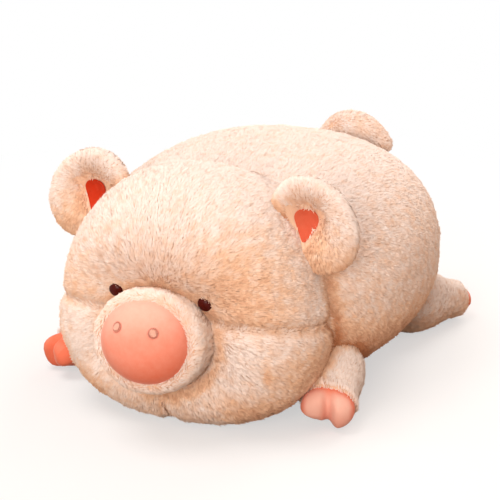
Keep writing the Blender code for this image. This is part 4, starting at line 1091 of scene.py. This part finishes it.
def make_tail():
    sizes = bpy.context.scene.pig_sizes
    finish = finishes()
    depth = sizes.cloth_depth
    stations = []
    for index in range(TAIL_STATIONS + 1):
        along = index / TAIL_STATIONS
        turn = CURL_START + (CURL_END - CURL_START) * along
        middle = Vector((CURL_HALF_WIDTH * (1 + math.cos(turn)), 0, CURL_HEIGHT * math.sin(turn)))
        heading = Vector((CURL_HALF_WIDTH * math.sin(turn), 0, -CURL_HEIGHT * math.cos(turn))).normalized()
        radius = TAIL_ROOT * (1 - along) + TAIL_TIP * along
        radius += (TAIL_SWELL - radius) * math.sin(math.pi * along) ** 2 - depth
        stations.append((middle, heading, radius))
    first, last = stations[0], stations[-1]
    for angle in END_ANGLES:
        lift, narrow = math.sin(angle), math.cos(angle)
        stations.insert(0, (first[0] - first[1] * first[2] * lift, first[1], first[2] * narrow))
        stations.append((last[0] + last[1] * last[2] * lift, last[1], last[2] * narrow))
    bm = bmesh.new()
    for middle, heading, radius in stations:
        ring_place = Matrix.Translation(middle) @ aim(heading, Vector((0, 1, 0)))
        bmesh.ops.create_circle(bm, segments=TAIL_SEGMENTS, radius=radius, matrix=ring_place)
    bmesh.ops.bridge_loops(bm, edges=bm.edges[:])
    bmesh.ops.holes_fill(bm, edges=bm.edges[:], sides=0)
    place = Matrix.Translation(TAIL_SPOT - Vector((0, 0, TAIL_DROP)))
    cover = add_piece("tail_cover", bm, finish["backing"], "tail", place)
    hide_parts("tail", "tail_stuffing")

    def groom(world):
        if BODY.inside(world, 0.002):
            return bare(0.7)
        # Painted shade: the pile is painted deeper where the tail meets the body
        return Vector((0.3, 0.6, -0.3)), 0.8, 1, 0.65 - 0.9 * hill(BODY.gap(world), 0.012)

    grow_pile(cover, "tail_pile", "tail", groom, seed=140)


# Stage: the camera stands where the photo's is judged to have stood
CAMERA_TURN, CAMERA_RISE = math.radians(25.093), math.radians(18.925)
CAMERA_AWAY = 2.0288
CAMERA_TARGET = Vector((-0.0013, -0.037, 0.13215))
CAMERA_LENS = 130.0
SENSOR_WIDTH = 36.0
FLOOR_HALF = 12
LAMP_TARGET = Vector((0, -0.05, 0.1))
# Large soft lamps: place, diameter, watts and tint
LAMPS = {
    "key": (Vector((-0.7, -0.8, 2.5)), 1.6, 29.0, (1.0, 1.0, 1.0)),
    "fill": (Vector((0.35, -2.35, 0.8)), 1.2, 29.0, (1.0, 0.93, 0.86)),
    "side": (Vector((2.2, 1.1, 0.9)), 1.2, 4.5, (1.0, 0.96, 0.92)),
    "back": (Vector((0.3, 2.1, 1.6)), 1.6, 33.0, (1.0, 0.96, 0.92)),
}


def add_light(name, place, size, energy, tint):
    """A round soft lamp that faces the toy."""
    lamp = bpy.data.lights.new(name, "AREA")
    lamp.shape = "DISK"
    lamp.size = size
    lamp.energy = energy
    lamp.color = tint
    made = bpy.data.objects.new(name, lamp)
    turn = (place - LAMP_TARGET).to_track_quat("Z", "Y")
    made.matrix_world = Matrix.Translation(place) @ turn.to_matrix().to_4x4()
    bpy.context.scene.collection.objects.link(made)


def backdrop_rays(tree):
    """Whether a ray is the camera's, and whether it shows the backdrop, also mirrored or through a solid."""
    path = add_node(tree, "ShaderNodeLightPath")
    seen = path.outputs["Is Camera Ray"]
    for kind in ("Is Glossy Ray", "Is Transmission Ray"):
        seen = add_node(tree, "ShaderNodeMath", {0: seen, 1: path.outputs[kind]},
                        operation="MAXIMUM").outputs[0]
    return path.outputs["Is Camera Ray"], seen


def make_stage():
    scene = bpy.context.scene
    scene.view_settings.view_transform = "Standard"
    away = Vector((math.sin(CAMERA_TURN) * math.cos(CAMERA_RISE),
                   -math.cos(CAMERA_TURN) * math.cos(CAMERA_RISE), math.sin(CAMERA_RISE)))
    lens = bpy.data.cameras.new("camera")
    lens.lens = CAMERA_LENS
    lens.sensor_width = SENSOR_WIDTH
    lens.clip_end = 50.0
    camera = bpy.data.objects.new("camera", lens)
    camera.matrix_world = (Matrix.Translation(CAMERA_TARGET + away * CAMERA_AWAY)
                           @ away.to_track_quat("Z", "Y").to_matrix().to_4x4())
    scene.collection.objects.link(camera)
    scene.camera = camera
    bm = bmesh.new()
    bmesh.ops.create_grid(bm, x_segments=2, y_segments=2, size=FLOOR_HALF)
    bmesh.ops.recalc_face_normals(bm, faces=bm.faces)
    mesh = bpy.data.meshes.new("floor")
    bm.to_mesh(mesh)
    bm.free()
    floor = bpy.data.objects.new("floor", mesh)
    scene.collection.objects.link(floor)
    # Matt paper floor: white to the camera, with the toy's faint shadow near it, and a dull tan for the
    # light that it throws back on the toy.
    made, tree, shader = new_material("matt_paper_floor")
    camera_ray, shown = backdrop_rays(tree)
    where = add_node(tree, "ShaderNodeTexCoord")
    grain = add_node(tree, "ShaderNodeTexNoise", {"Vector": where.outputs["Object"], "Scale": 400.0})
    seen = add_node(tree, "ShaderNodeMix", {0: grain.outputs["Fac"], 6: rgba(scene.pig_colours.floor),
                                            7: (0.93, 0.93, 0.93, 1)}, data_type="RGBA")
    mixed = add_node(tree, "ShaderNodeMix", {0: camera_ray, 6: (0.26, 0.18, 0.13, 1), 7: seen.outputs[2]},
                     data_type="RGBA")
    tree.links.new(mixed.outputs[2], shader.inputs["Base Color"])
    shader.inputs["Roughness"].default_value = 1.0
    shader.inputs["Specular IOR Level"].default_value = 0.0
    away = add_node(tree, "ShaderNodeVectorMath", {0: where.outputs["Object"]}, operation="LENGTH")
    far = add_node(tree, "ShaderNodeMapRange",
                   {"Value": away.outputs["Value"], "From Min": 0.3, "From Max": 0.9, "To Min": 0.55,
                    "To Max": 1.0}, interpolation_type="SMOOTHSTEP")
    white = add_node(tree, "ShaderNodeMath", {0: far.outputs[0], 1: shown}, operation="MULTIPLY")
    plain = add_node(tree, "ShaderNodeEmission", {"Color": (1, 1, 1, 1), "Strength": 1.0})
    both = add_node(tree, "ShaderNodeMixShader",
                    {0: white.outputs[0], 1: shader.outputs[0], 2: plain.outputs[0]})
    tree.links.new(both.outputs[0], tree.nodes["Material Output"].inputs["Surface"])
    mesh.materials.append(made)
    # White studio backdrop, which lights the toy with a dimmer, warmer white
    world = bpy.data.worlds.new("studio")
    scene.world = world
    world.use_nodes = True
    tree = world.node_tree
    tree.nodes.clear()
    _, shown = backdrop_rays(tree)
    white = add_node(tree, "ShaderNodeBackground", {"Color": (1, 1, 1, 1), "Strength": 1.0})
    dim = add_node(tree, "ShaderNodeBackground", {"Color": (1.0, 0.80, 0.68, 1), "Strength": 0.60})
    both = add_node(tree, "ShaderNodeMixShader", {0: shown, 1: dim.outputs[0], 2: white.outputs[0]})
    add_node(tree, "ShaderNodeOutputWorld", {0: both.outputs[0]})
    for name, (place, size, energy, tint) in LAMPS.items():
        add_light(name, place, size, energy, tint)


# Operators
class Body(bpy.types.Operator):
    """Body cover and its pile."""

    bl_idname = "pig.body"
    bl_label = "Body"

    def execute(self, context):
        make_body()
        return {"FINISHED"}


class Head(bpy.types.Operator):
    """Head cover and its pile."""

    bl_idname = "pig.head"
    bl_label = "Head"

    def execute(self, context):
        make_head()
        return {"FINISHED"}


class Muzzle(bpy.types.Operator):
    """Fur band and velour snout."""

    bl_idname = "pig.muzzle"
    bl_label = "Muzzle"

    def execute(self, context):
        make_muzzle()
        return {"FINISHED"}


class Nostrils(bpy.types.Operator):
    """Stitched rings on the snout."""

    bl_idname = "pig.nostrils"
    bl_label = "Nostrils"

    def execute(self, context):
        make_nostrils()
        return {"FINISHED"}


class Eyes(bpy.types.Operator):
    """Moulded eyes and their washers."""

    bl_idname = "pig.eyes"
    bl_label = "Eyes"

    def execute(self, context):
        make_eyes()
        return {"FINISHED"}


class Ears(bpy.types.Operator):
    """Cupped ears with velour linings."""

    bl_idname = "pig.ears"
    bl_label = "Ears"

    def execute(self, context):
        make_ears()
        return {"FINISHED"}


class Forelegs(bpy.types.Operator):
    """Forelegs with cloven hooves."""

    bl_idname = "pig.forelegs"
    bl_label = "Forelegs"

    def execute(self, context):
        make_forelegs()
        return {"FINISHED"}


class HindLegs(bpy.types.Operator):
    """Hind legs with cloven hooves."""

    bl_idname = "pig.hind_legs"
    bl_label = "Hind legs"

    def execute(self, context):
        make_hind_legs()
        return {"FINISHED"}


class Tail(bpy.types.Operator):
    """Curled tail."""

    bl_idname = "pig.tail"
    bl_label = "Tail"

    def execute(self, context):
        make_tail()
        return {"FINISHED"}


class Stage(bpy.types.Operator):
    """Floor, lamps and camera."""

    bl_idname = "pig.stage"
    bl_label = "Stage"

    def execute(self, context):
        make_stage()
        return {"FINISHED"}


OPERATORS = [Body, Head, Muzzle, Nostrils, Eyes, Ears, Forelegs, HindLegs, Tail, Stage]


class PIG_PT_panel(bpy.types.Panel):
    """Lists the operators and the sizes in the sidebar."""

    bl_idname = "PIG_PT_panel"
    bl_label = "Plush pig"
    bl_space_type = "VIEW_3D"
    bl_region_type = "UI"
    bl_category = "Plush pig"

    def draw(self, context):
        for group in (context.scene.pig_sizes, context.scene.pig_colours):
            for name in group.__annotations__:
                self.layout.prop(group, name)
        for made in OPERATORS:
            self.layout.operator(made.bl_idname)


CLASSES = [PigSizes, PigColours, *OPERATORS, PIG_PT_panel]


def register():
    for made in CLASSES:
        bpy.utils.register_class(made)
    bpy.types.Scene.pig_sizes = bpy.props.PointerProperty(type=PigSizes)
    bpy.types.Scene.pig_colours = bpy.props.PointerProperty(type=PigColours)


def unregister():
    del bpy.types.Scene.pig_sizes
    del bpy.types.Scene.pig_colours
    for made in reversed(CLASSES):
        bpy.utils.unregister_class(made)


def main():
    """Make every piece."""
    register()
    for made in OPERATORS:
        getattr(bpy.ops.pig, made.bl_idname.split(".")[1])()


if __name__ == "__main__":
    main()
